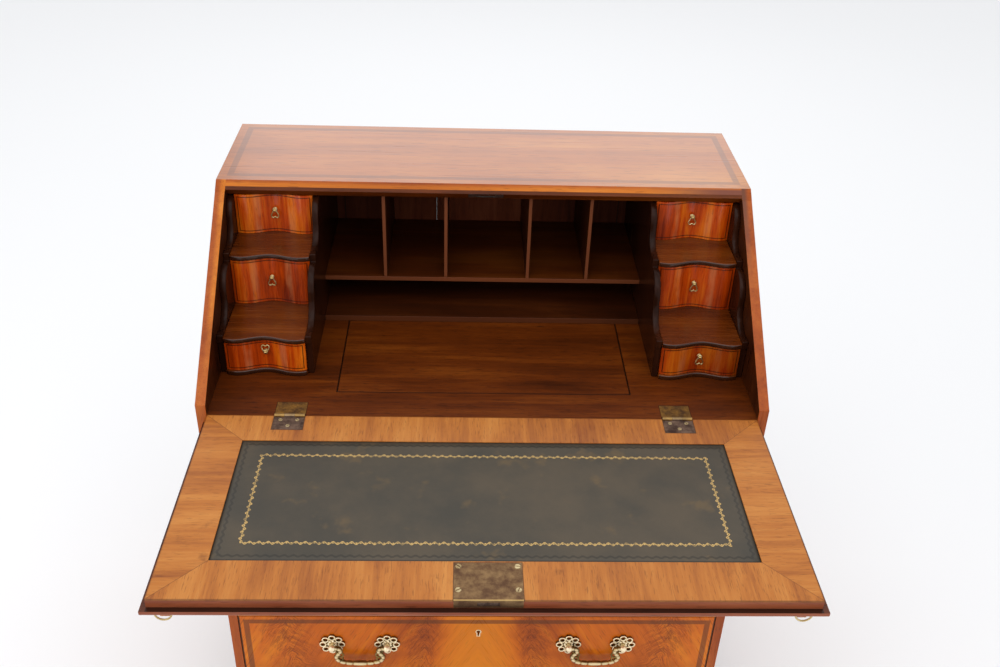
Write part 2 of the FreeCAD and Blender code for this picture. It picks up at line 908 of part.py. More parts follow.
def tower_shelves():
    boards = (
        (lower_front, writing_height),
        (lower_front, lower_shelf_z),
        (middle_front, upper_shelf_z),
    )
    return both_sides(
        *(wave_slab(small_x0, small_x1, y - shelf_nosing, back_y, z, z + shelf_thickness) for y, z in boards)
    )


def small_eye_place(y_front, z0, opening):
    return (small_x0 + small_x1) / 2, y_front - eye_reach, z0 + opening / 2 + eye_lift


def small_drawer(y_front, z0, opening):
    """A right-hand small drawer: serpentine front, two sides, back, bottom and the stud of its drop."""
    gap = small_drawer_clearance
    x0 = small_x0 + gap
    x1 = small_x1 - gap
    base = z0 + slide_clearance
    rim = z0 + opening - gap - slide_clearance
    y_inside = y_front + small_front_thickness
    y_end = back_y - small_end_gap
    side_top = rim - small_side_drop
    sides = [
        block(x0, x0 + small_side, y_inside - small_lap, y_end, base, side_top),
        block(x1 - small_side, x1, y_inside - small_lap, y_end, base, side_top),
    ]
    x_in0 = x0 + small_side
    x_in1 = x1 - small_side
    floor_z = base + small_bottom_lift
    floor = block(x_in0, x_in1, y_inside, y_end - small_side, floor_z, floor_z + small_bottom)
    back = block(x_in0, x_in1, y_end - small_side, y_end, base, side_top)
    face = wave_slab(x0, x1, y_front, y_inside, base, rim).cut(sides)
    x, y, z = small_eye_place(y_front, z0, opening)
    half = eye_width / 2
    stud = pin_y(x, y, y_front - eye_seat, z, eye_stud_radius)
    bore = pin_bore(x - eye_width, x + eye_width, y, z, drop_wire)
    eye = joined(stud, pin_x(x - half, x + half, y, z, eye_radius)).cut(bore)
    return [face, *sides, floor, back, eye]


def small_drop(y_front, z0, opening):
    """The heart-shaped drop of a right-hand small drawer, hanging."""
    x, y, z = small_eye_place(y_front, z0, opening)
    right = [(drop_half_width * a, -drop_length * b) for a, b in drop_shares]
    left = [(-a, b) for a, b in reversed(right[:-1])]
    points = [Vector(x + a, front + y, z + b) for a, b in right + left]
    half = right[0][0]
    reach = half + drop_wire
    pin = pin_x(x - reach, x + reach, y, z, drop_wire)
    return joined(tube(soft_run(points, drop_steps), drop_wire), pin)


def flipped(shape, y_front, z0, opening):
    """A drop that stands up on its pivot and leans on the front of its drawer."""
    x, y, z = small_eye_place(y_front, z0, opening)
    shape.rotate(Vector(x, front + y, z), Vector(1, 0, 0), -flipped_turn)
    return shape


# Middle of the interior
def slot_floor():
    z1 = writing_height + slot_floor_thickness
    return block(-tower_inner_x, tower_inner_x, slot_floor_front, back_y, writing_height, z1)


def pigeonhole_floor():
    z1 = writing_height + pigeonhole_floor_level
    z0 = z1 - pigeonhole_floor_thickness
    return block(-tower_inner_x, tower_inner_x, pigeonhole_floor_front, back_y, z0, z1)


def pigeonhole_dividers():
    z0 = writing_height + pigeonhole_floor_level
    half = divider_thickness / 2
    y0 = pigeonhole_floor_front + divider_set
    places = [tower_inner_x * share for share in divider_shares]
    return [block(x - half, x + half, y0, back_y, z0, top_under_z) for x in places]


# Long drawers
def drawer_lock_place(z0, height):
    """The top edge of a drawer's front and the level of its keyhole."""
    rim = z0 + height - drawer_clearance
    return rim, rim - keyhole_drop


def drawer_lock_case(rim):
    half = drawer_lock_width / 2
    y0 = drawer_front_thickness - drawer_lock_thickness
    return block(-half, half, y0, drawer_front_thickness, rim - drawer_lock_height, rim)


def drawer_bolt(rim, room):
    half = drawer_bolt_width / 2 + room
    y1 = drawer_front_thickness - 2 * bolt_room + room
    y0 = y1 - bolt_thickness - 2 * room
    z1 = rim - bolt_set
    return block(-half, half, y0, y1, z1 - drawer_bolt_height - room, z1 + room)


def long_drawer(z0, height):
    gap = drawer_clearance
    half = inner_x - gap
    base = z0 + slide_clearance
    rim, keyhole_z = drawer_lock_place(z0, height)
    y_end = back_y - drawer_end_gap
    side_top = rim - drawer_side_drop
    y_lap = drawer_front_thickness - drawer_lap
    sides = both_sides(block(half - drawer_side, half, y_lap, y_end, base, side_top))
    inside = half - drawer_side
    y_back = y_end - drawer_side
    floor_z = base + drawer_bottom_lift
    floor = block(-inside, inside, drawer_front_thickness, y_back, floor_z, floor_z + drawer_bottom)
    back = block(-inside, inside, y_back, y_end, base, side_top)
    hole = keyhole(-overrun, drawer_front_thickness, keyhole_z, 0)
    rim_hole = keyhole(-overrun, keyhole_rim_depth, keyhole_z, keyhole_rim)
    face = block(-half, half, 0, drawer_front_thickness, base, rim)
    return [face.cut([*sides, hole, rim_hole, drawer_lock_case(rim)]), *sides, floor, back]


def handle_places(z0, height):
    rim, _ = drawer_lock_place(z0, height)
    z = rim - height * handle_height_share
    return [(side * handle_x, z) for side in (-1, 1)]


def lobe_points(x, z, lobe, shares):
    """Points of one lobe: each share is one of the radius and one of the turn to the next lobe."""
    polar = [(rosette_radius * r, 2 * math.pi * (lobe + turn) / rosette_lobes) for r, turn in shares]
    return [(x + r * math.cos(a), z + r * math.sin(a)) for r, a in polar]


def rosette(x, z):
    """A pierced rose: lobes of few sides round the edge, with a hole in each."""
    edge = []
    holes = []
    for lobe in range(rosette_lobes):
        edge += lobe_points(x, z, lobe, rosette_lobe_shares)
        hole = lobe_points(x, z, lobe, rosette_hole_shares)
        holes.append(deep(hole, -rosette_thickness - overrun, overrun))
    return deep(edge, -rosette_thickness, 0).cut(holes)


def post(x, z, inward):
    """A post with a round head, bored from its inner side for the pin of the bail."""
    places = [(x, -rosette_thickness, z, post_radius)]
    places += [(x, -post_reach - post_head * b, z, post_head * a) for a, b in post_head_shares]
    x0, x1 = sorted((x + inward * 2 * post_head, x - inward * bail_pin_seat))
    bore = pin_bore(x0, x1, -post_reach, z, bail_pin_radius)
    return turned(Vector(0, 1, 0), places).cut(bore)


def keyhole_liner(z):
    outer = keyhole(0, keyhole_rim_depth, z, keyhole_rim)
    return outer.cut(keyhole(-overrun, keyhole_rim_depth + overrun, z, 0))


def drawer_brassware(z0, height):
    """Rosettes, posts, keyhole liner and lock of one long drawer."""
    rim, keyhole_z = drawer_lock_place(z0, height)
    pieces = [keyhole_liner(keyhole_z)]
    hole = keyhole(0, drawer_front_thickness + overrun, keyhole_z, 0)
    pieces.append(drawer_lock_case(rim).cut([drawer_bolt(rim, bolt_room), hole]))
    for x, z in handle_places(z0, height):
        for side in (-1, 1):
            post_x = x + side * handle_spacing / 2
            pieces += [rosette(post_x, z), post(post_x, z, -side)]
    return pieces


def bail(x, z):
    """A swan-neck bail, hanging, with a pin at each end and a turned grip."""
    half = handle_spacing / 2
    right = [(half * a, -bail_drop * b) for a, b in bail_shares]
    points = right + [(-a, b) for a, b in reversed(right)]
    run = soft_run([Vector(x + a, front - post_reach, z + b) for a, b in points], bail_steps)
    end = right[0][0]
    pins = []
    for side in (-1, 1):
        x0, x1 = sorted((x + side * end, x + side * (half + bail_pin_seat - pin_clearance)))
        pins.append(pin_x(x0, x1, -post_reach, z, bail_pin_radius))
        collar = x + side * end
        pins.append(pin_x(collar - bail_collar, collar + bail_collar, -post_reach, z, bail_shoulder))
    return joined(tube(run, bail_wire), *pins, bail_grip(x, z - bail_drop))


def bail_grip(x, z):
    """A swell on the bottom of a bail, turned about the bar."""
    half = bail_grip_length / 2
    places = [(x + half * a, -post_reach, z, bail_grip_radius * b) for a, b in bail_grip_shares]
    return turned(Vector(1, 0, 0), places)


# The whole desk
os.makedirs("parts", exist_ok=True)

rails = drawer_rails()
bed = writing_bed()
bottom = bottom_board()
right_side = side_right([*rails, *bed, bottom])

save("side_right", [right_side])
save("side_left", [mirrored(right_side)])
save("top_board", [top_board()])
save("back_boards", back_boards())
save("writing_bed", bed)
save("frieze_front", [frieze_front()])
save("well_tray", well_tray())
save("loper_guides", loper_guides())
save("drawer_rails", rails)
save("drawer_runners", drawer_runners())
save("bottom_board", [bottom])
save("base_moulding", base_moulding())
save("bracket_feet", bracket_feet())
save("strike_plate", [strike_plate()])
save("hinge_bed_leaves", both_sides(hinge_leaf(0, 1)))
save("tower_cheeks", tower_cheeks())
save("tower_shelves", tower_shelves())
save("slot_floor", [slot_floor()])
save("pigeonhole_floor", [pigeonhole_floor()])
save("pigeonhole_dividers", pigeonhole_dividers())

save("fall_panel", [fall_panel()])
save("fall_banding", fall_banding())
save("leather_skiver", [leather_skiver()])
save("fall_lock", fall_lock())
save("fall_lock_bolt", [bolt_block(0)])
save("hinge_fall_leaves", both_sides(hinge_leaf(1, -1)))
save("hinge_pins", both_sides(hinge_pin()))

save("loper_right", loper())
save("loper_left", [mirrored(s) for s in loper()])
save("loper_ring_right", [loper_ring()])
save("loper_ring_left", [mirrored(loper_ring())])
save("well_slide", [well_slide()])

small_levels = {
    "lower": (lower_front, lower_drawer_z, lower_opening),
    "middle": (middle_front, middle_drawer_z, middle_opening),
    "upper": (upper_front, upper_drawer_z, top_under_z - upper_drawer_z),
}
for level, place in small_levels.items():
    drawer = small_drawer(*place)
    drop = small_drop(*place)
    save(f"small_drawer_{level}_right", drawer)
    save(f"small_drawer_{level}_left", [mirrored(s) for s in drawer])
    save(f"drop_{level}_right", [drop])
    left_drop = mirrored(drop)
    save(f"drop_{level}_left", [flipped(left_drop, *place) if level == "lower" else left_drop])

long_levels = {
    "upper": (upper_rail_z, upper_row_height),
    "middle": (middle_rail_z, middle_row_height),
    "lower": (bottom_z, lower_row_height),
}
for level, place in long_levels.items():
    save(f"long_drawer_{level}", long_drawer(*place))
    save(f"brassware_{level}", drawer_brassware(*place))
    save(f"drawer_bolt_{level}", [drawer_bolt(drawer_lock_place(*place)[0], 0)])
    for side, (x, z) in zip(("left", "right"), handle_places(*place)):
        save(f"bail_{level}_{side}", [bail(x, z)])
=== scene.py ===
# %% [markdown]
# # A drop-front writing desk
# The desk comes as solids, each already in its place: boards, drawers, hinges and locks. This lesson
# gives them their looks. The solids stay where they are; we add finishes, soften their edges, and model
# what a solid is too plain for, such as cast handles, screws and the tooled leather.

# %% Load the solids
import math

import bmesh
import bpy
from mathutils import Matrix, Vector


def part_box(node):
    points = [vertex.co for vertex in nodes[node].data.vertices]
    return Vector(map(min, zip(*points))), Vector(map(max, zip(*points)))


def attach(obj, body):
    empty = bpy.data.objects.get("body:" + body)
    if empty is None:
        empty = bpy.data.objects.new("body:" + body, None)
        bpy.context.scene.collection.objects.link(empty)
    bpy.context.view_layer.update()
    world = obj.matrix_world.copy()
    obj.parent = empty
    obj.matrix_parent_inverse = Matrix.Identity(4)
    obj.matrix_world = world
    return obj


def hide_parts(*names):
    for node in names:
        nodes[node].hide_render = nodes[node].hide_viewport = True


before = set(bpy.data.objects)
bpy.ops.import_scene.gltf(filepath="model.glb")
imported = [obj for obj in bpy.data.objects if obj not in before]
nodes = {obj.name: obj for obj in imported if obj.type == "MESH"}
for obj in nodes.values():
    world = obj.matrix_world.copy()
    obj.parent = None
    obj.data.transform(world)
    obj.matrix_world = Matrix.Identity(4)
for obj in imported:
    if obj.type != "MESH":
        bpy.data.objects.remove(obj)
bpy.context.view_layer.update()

# %% [markdown]
# ## Places to measure from
# Every piece below is placed from the solids. The front plane of the carcase is the front edge of its
# sides, the writing level is the top of the bed, and the hinge line of the fall is where the two meet.

# %% Places to measure from
mm = 0.001
levels = ("lower", "middle", "upper")
sides = ("left", "right")
front_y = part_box("side_left")[0].y
writing_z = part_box("writing_bed")[1].z
half_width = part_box("side_right")[1].x
inner_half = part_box("tower_cheeks")[1].x
top_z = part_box("top_board")[1].z
print("front", round(front_y, 4), "writing level", round(writing_z, 4), "top", round(top_z, 4))

# %% [markdown]
# ## The camera
# The picture looks down into the open desk. A camera turns about its upright axis (yaw), then nods
# (pitch), then leans (roll), so its matrix is those three turns multiplied in that order. A camera looks
# along its own minus Z, so a quarter turn is added to the pitch to make zero look level.

# %% The camera
camera_eye = Vector((-34.9, -1109.1, 855.4)) * mm + Vector((0, front_y, writing_z))
camera_yaw = math.radians(-2.63)
camera_pitch = math.radians(-33.023)
camera_roll = math.radians(2.15)
camera_lens = 37.73

camera = bpy.data.objects.new("camera", bpy.data.cameras.new("camera"))
camera.data.sensor_width = 36.0
camera.data.lens = camera_lens
turns = [(camera_yaw, "Z"), (camera_pitch + math.pi / 2, "X"), (camera_roll, "Z")]
aim = Matrix.Identity(4)
for angle, axis in turns:
    aim = aim @ Matrix.Rotation(angle, 4, axis)
camera.matrix_world = Matrix.Translation(camera_eye) @ aim
bpy.context.scene.collection.objects.link(camera)
bpy.context.scene.camera = camera
print("camera at", [round(v, 3) for v in camera.location])

# %% [markdown]
# ## Floor and light
# A photographer's white room is a pale floor under a bright, even sky, with large soft lamps. The lamps
# are area lights: the larger they are, the softer the shadows and the broader the sheen on polish.

# %% Floor and light
floor_half = 30.0
sky_strength = 0.95
floor_mesh = bpy.data.meshes.new("floor")
shape = bmesh.new()
bmesh.ops.create_grid(shape, x_segments=1, y_segments=1, size=floor_half)
shape.to_mesh(floor_mesh)
shape.free()
floor = bpy.data.objects.new("floor", floor_mesh)
bpy.context.scene.collection.objects.link(floor)

world = bpy.data.worlds.new("white room")
world.use_nodes = True
world.node_tree.nodes["Background"].inputs["Color"].default_value = (1.0, 1.0, 1.0, 1.0)
world.node_tree.nodes["Background"].inputs["Strength"].default_value = sky_strength
bpy.context.scene.world = world
bpy.context.scene.view_settings.view_transform = "Standard"


def lamp(name, place, target, size, power):
    """A square area light that faces a target."""
    light = bpy.data.lights.new(name, "AREA")
    light.size = size
    light.energy = power
    made = bpy.data.objects.new(name, light)
    made.location = place
    made.rotation_euler = (Vector(target) - Vector(place)).to_track_quat("-Z", "Y").to_euler()
    bpy.context.scene.collection.objects.link(made)


lamp("overhead", (0.0, -1.4, 3.4), (0.0, 0.0, 0.7), 3.0, 32.0)
lamp("behind", (0.1, 3.6, 2.9), (0.0, 0.2, 0.95), 2.6, 15.0)
lamp("left", (-2.8, -1.4, 2.0), (0.0, 0.0, 0.7), 1.6, 14.0)
print("three lamps over a pale floor")

# %% [markdown]
# ## Shader sums written as Python
# A finish is a small program of nodes. Wiring it by hand is slow to read, so one class wraps a socket:
# adding, multiplying or comparing two of them adds the Math node that does it. Every other node comes
# from its node method, which takes the type, the settings and the values or links of the sockets.


# %% Shader sums written as Python
class Wire:
    """The value of one socket. Sums on it add nodes to its material."""

    def __init__(self, socket):
        self.socket = socket

    def node(self, kind, settings=None, values=None, output=0):
        tree = self.socket.id_data
        made = tree.nodes.new(kind)
        for name, value in (settings or {}).items():
            if name == "stops":
                set_stops(made.color_ramp, value)
            else:
                setattr(made, name, value)
        for name, value in (values or {}).items():
            if isinstance(value, Wire):
                tree.links.new(value.socket, made.inputs[name])
            else:
                made.inputs[name].default_value = value
        return Wire(made.outputs[output])

    def maths(self, operation, *terms):
        """A Math node on the given terms, or on this value alone."""
        return self.node("ShaderNodeMath", {"operation": operation}, dict(enumerate(terms or [self])))

    def __add__(self, other):
        return self.maths("ADD", self, other)

    __radd__ = __add__

    def __sub__(self, other):
        return self.maths("SUBTRACT", self, other)

    def __rsub__(self, other):
        return self.maths("SUBTRACT", other, self)

    def __mul__(self, other):
        return self.maths("MULTIPLY", self, other)

    __rmul__ = __mul__

    def __truediv__(self, other):
        return self.maths("DIVIDE", self, other)

    def __gt__(self, other):
        return self.maths("GREATER_THAN", self, other)

    def __lt__(self, other):
        return self.maths("LESS_THAN", self, other)

    def __abs__(self):
        return self.maths("ABSOLUTE")

    def largest(self, other):
        return self.maths("MAXIMUM", self, other)

    def least(self, other):
        return self.maths("MINIMUM", self, other)

    def ease(self, low, high):
        """0 below low and 1 above high, with a soft step between."""
        values = {"Value": self, "From Min": low, "From Max": high}
        return self.node("ShaderNodeMapRange", {"interpolation_type": "SMOOTHSTEP"}, values)

    def between(self, nothing, everything):
        """This value picks a colour from nothing, at 0, to everything, at 1."""
        values = {0: self, mix_first_colour: nothing, mix_second_colour: everything}
        return self.node("ShaderNodeMix", {"data_type": "RGBA"}, values, output=mix_colour)


mix_first_colour, mix_second_colour, mix_colour = 6, 7, 2


def set_stops(ramp, stops):
    while len(ramp.elements) < len(stops):
        ramp.elements.new(1.0)
    for element, (place, colour) in zip(ramp.elements, stops):
        element.position = place
        element.color = colour


def tint(code):
    """A colour as the eye reads it, six hex digits, turned to the light that a shader counts in."""
    parts = [int(code[i : i + 2], 16) / 255 for i in (0, 2, 4)]
    light = [p / 12.92 if p <= 0.04045 else ((p + 0.055) / 1.055) ** 2.4 for p in parts]
    return (*light, 1.0)


print("sums on sockets ready, a colour such as", [round(v, 3) for v in tint("b06a2a")])

# %% [markdown]
# ## From sums to a finish
# A finish starts from two things that every point of a piece knows: its place and the way its surface
# faces. Noise breaks them up, and the last step plugs colours and numbers into the shader. Places are
# read from the object and not from the room, so a drawer keeps its figure when it is drawn out. The floor
# gets the first and plainest finish.


# %% From sums to a finish
def surface(name):
    """A new material, with the place of each point and the way its surface faces."""
    material = bpy.data.materials.new(name)
    material.use_nodes = True
    coordinates = material.node_tree.nodes.new("ShaderNodeTexCoord")
    return material, Wire(coordinates.outputs["Object"]), Wire(coordinates.outputs["Normal"])


def xyz(vector):
    parts = vector.node("ShaderNodeSeparateXYZ", values={0: vector})
    return [Wire(s) for s in parts.socket.node.outputs]


def noise(vector, scale, detail=2.0, roughness=0.5, distortion=0.0):
    values = {
        "Vector": vector,
        "Scale": scale,
        "Detail": detail,
        "Roughness": roughness,
        "Distortion": distortion,
    }
    return vector.node("ShaderNodeTexNoise", values=values)


def plug(material, sockets, height=None, depth=0.0):
    """Feeds a material's shader, and its bump from a height in millimetres."""
    shader = material.node_tree.nodes["Principled BSDF"]
    tree = material.node_tree
    for name, value in sockets.items():
        if isinstance(value, Wire):
            tree.links.new(value.socket, shader.inputs[name])
        else:
            shader.inputs[name].default_value = value
    if height is not None:
        values = {"Strength": 1.0, "Distance": depth * mm, "Height": height}
        bump = height.node("ShaderNodeBump", values=values)
        tree.links.new(bump.socket, shader.inputs["Normal"])
    return material


floor_white = (0.865, 0.875, 0.895, 1.0)
floor_finish, _, _ = surface("pale floor")
plug(floor_finish, {"Base Color": floor_white, "Roughness": 0.7})
floor_mesh.materials.append(floor_finish)
print("the shader kit is ready")

# %% [markdown]
# ## Wood
# Wood could be a picture laid on each board, but then every board of a kind would look the same. Here it is
# drawn by stretching noise along the grain. A slow cloud of noise shifts the tone from place to place,
# coarse streaks make the figure, and fine lines and short dark pores make it wood and not marble. Each
# board gets its own shift, so that no two show the same piece of noise.

# %% Wood
along_x, along_y, along_z = 0, 1, 2
no_shift = (0.0, 0.0, 0.0)
same_scale = (1.0, 1.0, 1.0)
streak_length = 9.0
line_fineness = 8.0
line_length = 22.0
pore_fineness = 34.0
pore_length = 14.0
pore_shade = 0.42
line_roughness = 0.16
coat_roughness = 0.14


def moved(place, shift, scale):
    return place.node("ShaderNodeMapping", values={"Vector": place, "Location": shift, "Scale": scale})


def grained(place, along, scale, ratio, shift):
    """Coordinates for noise that runs long along one axis: 0, 1 or 2 for X, Y or Z."""
    stretched = [scale] * 3
    stretched[along] = scale / ratio
    return moved(place, shift, stretched)


def wood(place, along, deep, middle, pale, coarse=22.0, shift=no_shift, pores=0.4, spread=0.16):
    """Colour, fine lines and height of one board. A small spread makes a bold figure."""
    cloud = noise(moved(place, shift, same_scale), 6.0, 3.0)
    streak = noise(grained(place, along, coarse, streak_length, shift), 1.0, 6.0, 0.62, 0.7)
    lines = noise(grained(place, along, coarse * line_fineness, line_length, shift), 1.0, 3.0, 0.6)
    specks = noise(grained(place, along, coarse * pore_fineness, pore_length, shift), 1.0, 1.0)
    tone = streak * 0.5 + lines * 0.22 + cloud * 0.28
    stops = [(0.5 - spread, deep), (0.5, middle), (0.5 + spread, pale)]
    colour = tone.node("ShaderNodeValToRGB", {"stops": stops}, {0: tone})
    dark = [c * pore_shade for c in deep[:3]]
    pore = specks.ease(0.6, 0.7) * pores
    colour = pore.between(colour, (*dark, 1.0))
    return colour, lines, lines * 0.5 - pore


def polished(material, colour, lines, height, gloss=0.3, coat=0.1, shine=0.25, depth=0.06, metal=0.0):
    """Waxed or lacquered wood. The fine lines are a little rougher than the rest."""
    sockets = {
        "Base Color": colour,
        "Metallic": metal,
        "Roughness": lines * line_roughness + (gloss - line_roughness / 2),
        "Coat Weight": coat,
        "Coat Roughness": coat_roughness,
        "Specular IOR Level": shine,
    }
    return plug(material, sockets, height, depth)


def simple_wood(name, along, tones, shift=no_shift, gloss=0.3, coat=0.1, shine=0.25):
    material, place, _ = surface(name)
    return polished(material, *wood(place, along, *tones, shift=shift), gloss=gloss, coat=coat, shine=shine)


print("wood runs along", along_x, along_y, along_z, "for X, Y and Z")

# %% [markdown]
# ## Twelve woods
# A board is never one colour, so a wood is three tones: its dark lines, its body and its pale bands. One
# ramp runs through all three. The same veneer has sets of its own for its edges and for the inside, kept
# from the light, because changing the tones is simpler than laying stains over them. One of them, glint,
# is a painted highlight on edges.

# %% Twelve woods
amber = (tint("84400f"), tint("a85c1c"), tint("c07a2e"))
russet = (tint("4c2214"), tint("783a22"), tint("965234"))
cinder = (tint("7e340e"), tint("a04c18"), tint("b66426"))
glint = (tint("a0500f"), tint("c06c1e"), tint("d68a34"))
honey = (tint("82421a"), tint("b06a2a"), tint("c6843e"))
walnut = (tint("361403"), tint("582505"), tint("763a0c"))
umber = (tint("240d04"), tint("3a1806"), tint("50260c"))
bistre = (tint("2c1004"), tint("461d06"), tint("60300c"))
soot = (tint("1a0a05"), tint("2a1208"), tint("3c1c0c"))
ribbon = (tint("741e00"), tint("b63e00"), tint("dc7010"))
flame = (tint("9c4206"), tint("c6620a"), tint("de8414"))
plain = (tint("6b4a2c"), tint("8f6a42"), tint("a9845a"))
print("twelve woods mixed")

# %% [markdown]
# ## Lines of inlay
# The top and the drawer fronts carry thin dark lines let into the veneer, a few millimetres from the
# edge. They could be strips of their own, but they lie flush, so colour alone is enough. A line that runs
# round a rectangle is one sum: how far a point lies outside the rectangle, taken as the larger of two
# overshoots, is zero all along that line.


# %% Lines of inlay
def frame_line(u, v, half_u, half_v, width):
    """1 on a line of that width round a rectangle, centred on u and v."""
    outside = (abs(u) - half_u).largest(abs(v) - half_v)
    return 1 - abs(outside).ease(width * 0.42, width * 0.58)


def inset_line(place_u, place_v, low, high, inset, width):
    """A frame line set in from the edges low and high, both (u, v)."""
    centre = [(a + b) / 2 for a, b in zip(low, high)]
    half = [(b - a) / 2 - inset for a, b in zip(low, high)]
    return frame_line(place_u - centre[0], place_v - centre[1], half[0], half[1], width)


print("inlay lines ready")

# %% [markdown]
# ## Top and sides
# The carcase is veneered in one warm wood. On the sides the grain stands upright, on the top it lies along
# the length, inside a dark band let in round all four edges. Whatever faces into the desk is stained dark.
# Each face could have a material slot of its own. It is simpler to let a board pick its colour by the way
# that each face points: a number from -1 to 1 along each axis, where the front of the desk looks along -Y.

# %% Top and sides
top_front_y = front_y + 257.0 * mm
top_back_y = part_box("top_board")[1].y
band_inset = 17.0 * mm
band_width = 9.0 * mm
band_dark = tint("5a2c16")
bearing_fall = 6.4 * mm
side_glint = 10.0 * mm
glint_rise = 120.0 * mm
dark_start = 0.57 * half_width
dark_end = 0.9 * half_width
dark_reach = 110.0 * mm
top_end_dark = tint("764334")
side_end_dark = tint("6a3e2c")
left_shift = (1.0, 2.0, 3.0)
right_shift = (7.0, 2.5, 1.0)
top_shift = (3.1, 0.4, 0.0)
top_edge_shift = (1.0, 2.4, 0.0)


def right_end_dark(x, z):
    """1 at the right end of the top's edge, where it turns darker, fading down that side."""
    return x.ease(dark_start, dark_end) * z.ease(top_z - dark_reach, top_z)


def sloping_edge(place, shift):
    """The front edge of a side. The left one has a painted highlight along its inner corner, higher up; the
    right one turns darker near its top.
    """
    x, _, z = xyz(place)
    inner = wood(place, along_z, *glint, shift=shift)
    outer = wood(place, along_z, *cinder, shift=shift)
    outward = (abs(x) - inner_half).ease(0.3 * side_glint, side_glint)
    # Painted highlight: brighter along the left side's inner corner, higher up.
    wear_and_highlight = z.ease(writing_z, writing_z + glint_rise) * (1 - outward) * (x < 0.0)
    colour = wear_and_highlight.between(outer[0], inner[0])
    return (right_end_dark(x, z) * (1 - outward)).between(colour, side_end_dark)


def top_finish():
    """The top board. Where it lies over a side, its front edge carries on the edge of that side."""
    material, place, facing = surface("top veneer")
    colour, lines, height = wood(place, along_x, *amber, shift=top_shift, coarse=14.0, spread=0.2)
    x, y, z = xyz(place)
    _, ahead, upward = xyz(facing)
    is_top = upward > 0.9
    band = inset_line(x, y, (-half_width, top_front_y), (half_width, top_back_y), band_inset, band_width)
    colour = (band * is_top * 0.5).between(colour, band_dark)
    edge = wood(place, along_x, *cinder, shift=top_edge_shift)
    lit_edge = wood(place, along_x, *glint, shift=top_edge_shift)
    inside = wood(place, along_x, *walnut, shift=top_shift)
    fallen = (top_z - z) / bearing_fall
    # Painted highlight: the front edge turns brighter down its bearing face.
    edge_colour = fallen.ease(0.0, 0.7).between(edge[0], lit_edge[0])
    edge_colour = (right_end_dark(x, z) * fallen.ease(0.0, 0.4)).between(edge_colour, top_end_dark)
    edge_colour = (fallen > 1.0).between(edge_colour, inside[0])
    edge_colour = (abs(x) > inner_half).between(edge_colour, sloping_edge(place, left_shift))
    colour = (ahead < -0.2).between(colour, edge_colour)
    colour = (upward < -0.3).between(colour, inside[0])
    return polished(material, colour, lines, height, coat=is_top, shine=0.15, depth=0.05)


def side_finish(name, inward, shift):
    """A side board: veneered outside, stained inside. Inward is 1 where the inside faces +X."""
    material, place, facing = surface(name)
    colour, lines, height = wood(place, along_z, *amber, shift=shift)
    inside = wood(place, along_z, *umber, shift=shift)
    sideways, ahead, _ = xyz(facing)
    colour = (ahead < -0.4).between(colour, sloping_edge(place, shift))
    colour = (sideways * inward > 0.7).between(colour, inside[0])
    return polished(material, colour, lines, height, coat=0.0, shine=0.2)


finishes = {
    "top_board": top_finish(),
    "side_left": side_finish("left side veneer", 1, left_shift),
    "side_right": side_finish("right side veneer", -1, right_shift),
}
print(len(finishes), "finishes for the top and the sides")

# %% [markdown]
# ## Fall, lopers and rails
# The core of the fall shows outside when the desk is closed, and as a thin lip in front of the border when
# it is open. That lip is dark on top. The lopers, which carry the fall, end in a brass eye. The rails, base
# and feet are the same veneer, each from another part of the sheet.

# %% Fall, lopers and rails
lip_drop = 8.0 * mm
lip_joint = 1.3 * mm
lip_top_dark = tint("160a06")
joint_dark = tint("3a180a")


def fall_finish():
    """The core of the fall and its lip: dark on top of the lip, reddish where fingers rub its edge."""
    material, place, facing = surface("fall veneer")
    colour, lines, height = wood(place, along_x, *amber, shift=(9.0, 1.0, 4.0))
    edge = wood(place, along_x, *russet, shift=(2.0, 5.0, 1.0))
    x, _, z = xyz(place)
    upward = xyz(facing)[2]
    colour = (upward > -0.6).between(colour, edge[0])
    # The top of the lip is darker, less so at its ends.
    darker_share = (upward > 0.6) * (z < writing_z - lip_drop)
    at_end = abs(x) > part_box("fall_banding")[1].x
    colour = (darker_share * (0.92 - 0.3 * at_end)).between(colour, lip_top_dark)
    joint = (z > writing_z - lip_joint) * (upward < 0.6)
    colour = (joint * 0.7).between(colour, joint_dark)
    return polished(material, colour, lines, height, shine=0.2)


loper_brass_reach = 8.3 * mm
eye_brass = tint("a88c58")


def loper_finish(name, shift):
    """A loper: plain veneer with a brass eye on its front end."""
    material, place, _ = surface(name)
    colour, lines, height = wood(place, along_y, *amber, shift=shift)
    brass = xyz(place)[1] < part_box(name)[0].y + loper_brass_reach
    colour = brass.between(colour, eye_brass)
    return polished(material, colour, lines, height, gloss=0.32, coat=0.0, shine=0.5, depth=0.05, metal=brass)


finishes["frieze_front"] = simple_wood("frieze veneer", along_x, amber, (4.0, 1.0, 2.0))
finishes["drawer_rails"] = simple_wood("rail veneer", along_x, amber, (5.0, 3.0, 2.0))
finishes["base_moulding"] = simple_wood("base veneer", along_x, amber, (2.0, 6.0, 1.0))
finishes["bracket_feet"] = simple_wood("foot veneer", along_x, amber, (2.0, 8.0, 4.0))
finishes["loper_left"] = loper_finish("loper_left", (3.0, 8.0, 4.0))
finishes["loper_right"] = loper_finish("loper_right", (1.0, 7.0, 4.0))
finishes["fall_panel"] = fall_finish()
print(len(finishes), "finishes so far")

# %% [markdown]
# ## The writing bed
# Behind the fall lies the bed, stained dark and waxed. A groove runs round the slide that covers the well,
# and a fine gap round brass that is let in. Both could be cut into the solid, but they are narrower than a
# fingernail, so dark lines do as well.

# %% The writing bed
hinge_x = 258.0 * mm
hinge_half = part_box("hinge_bed_leaves")[1].x - hinge_x
gap_width = 0.9 * mm
deep_brown = tint("1e0d06")
well_tongue = 5.0 * mm
groove_half_width = 1.1 * mm
groove_dark = tint("120703")
bed_front = front_y + 2.0 * mm


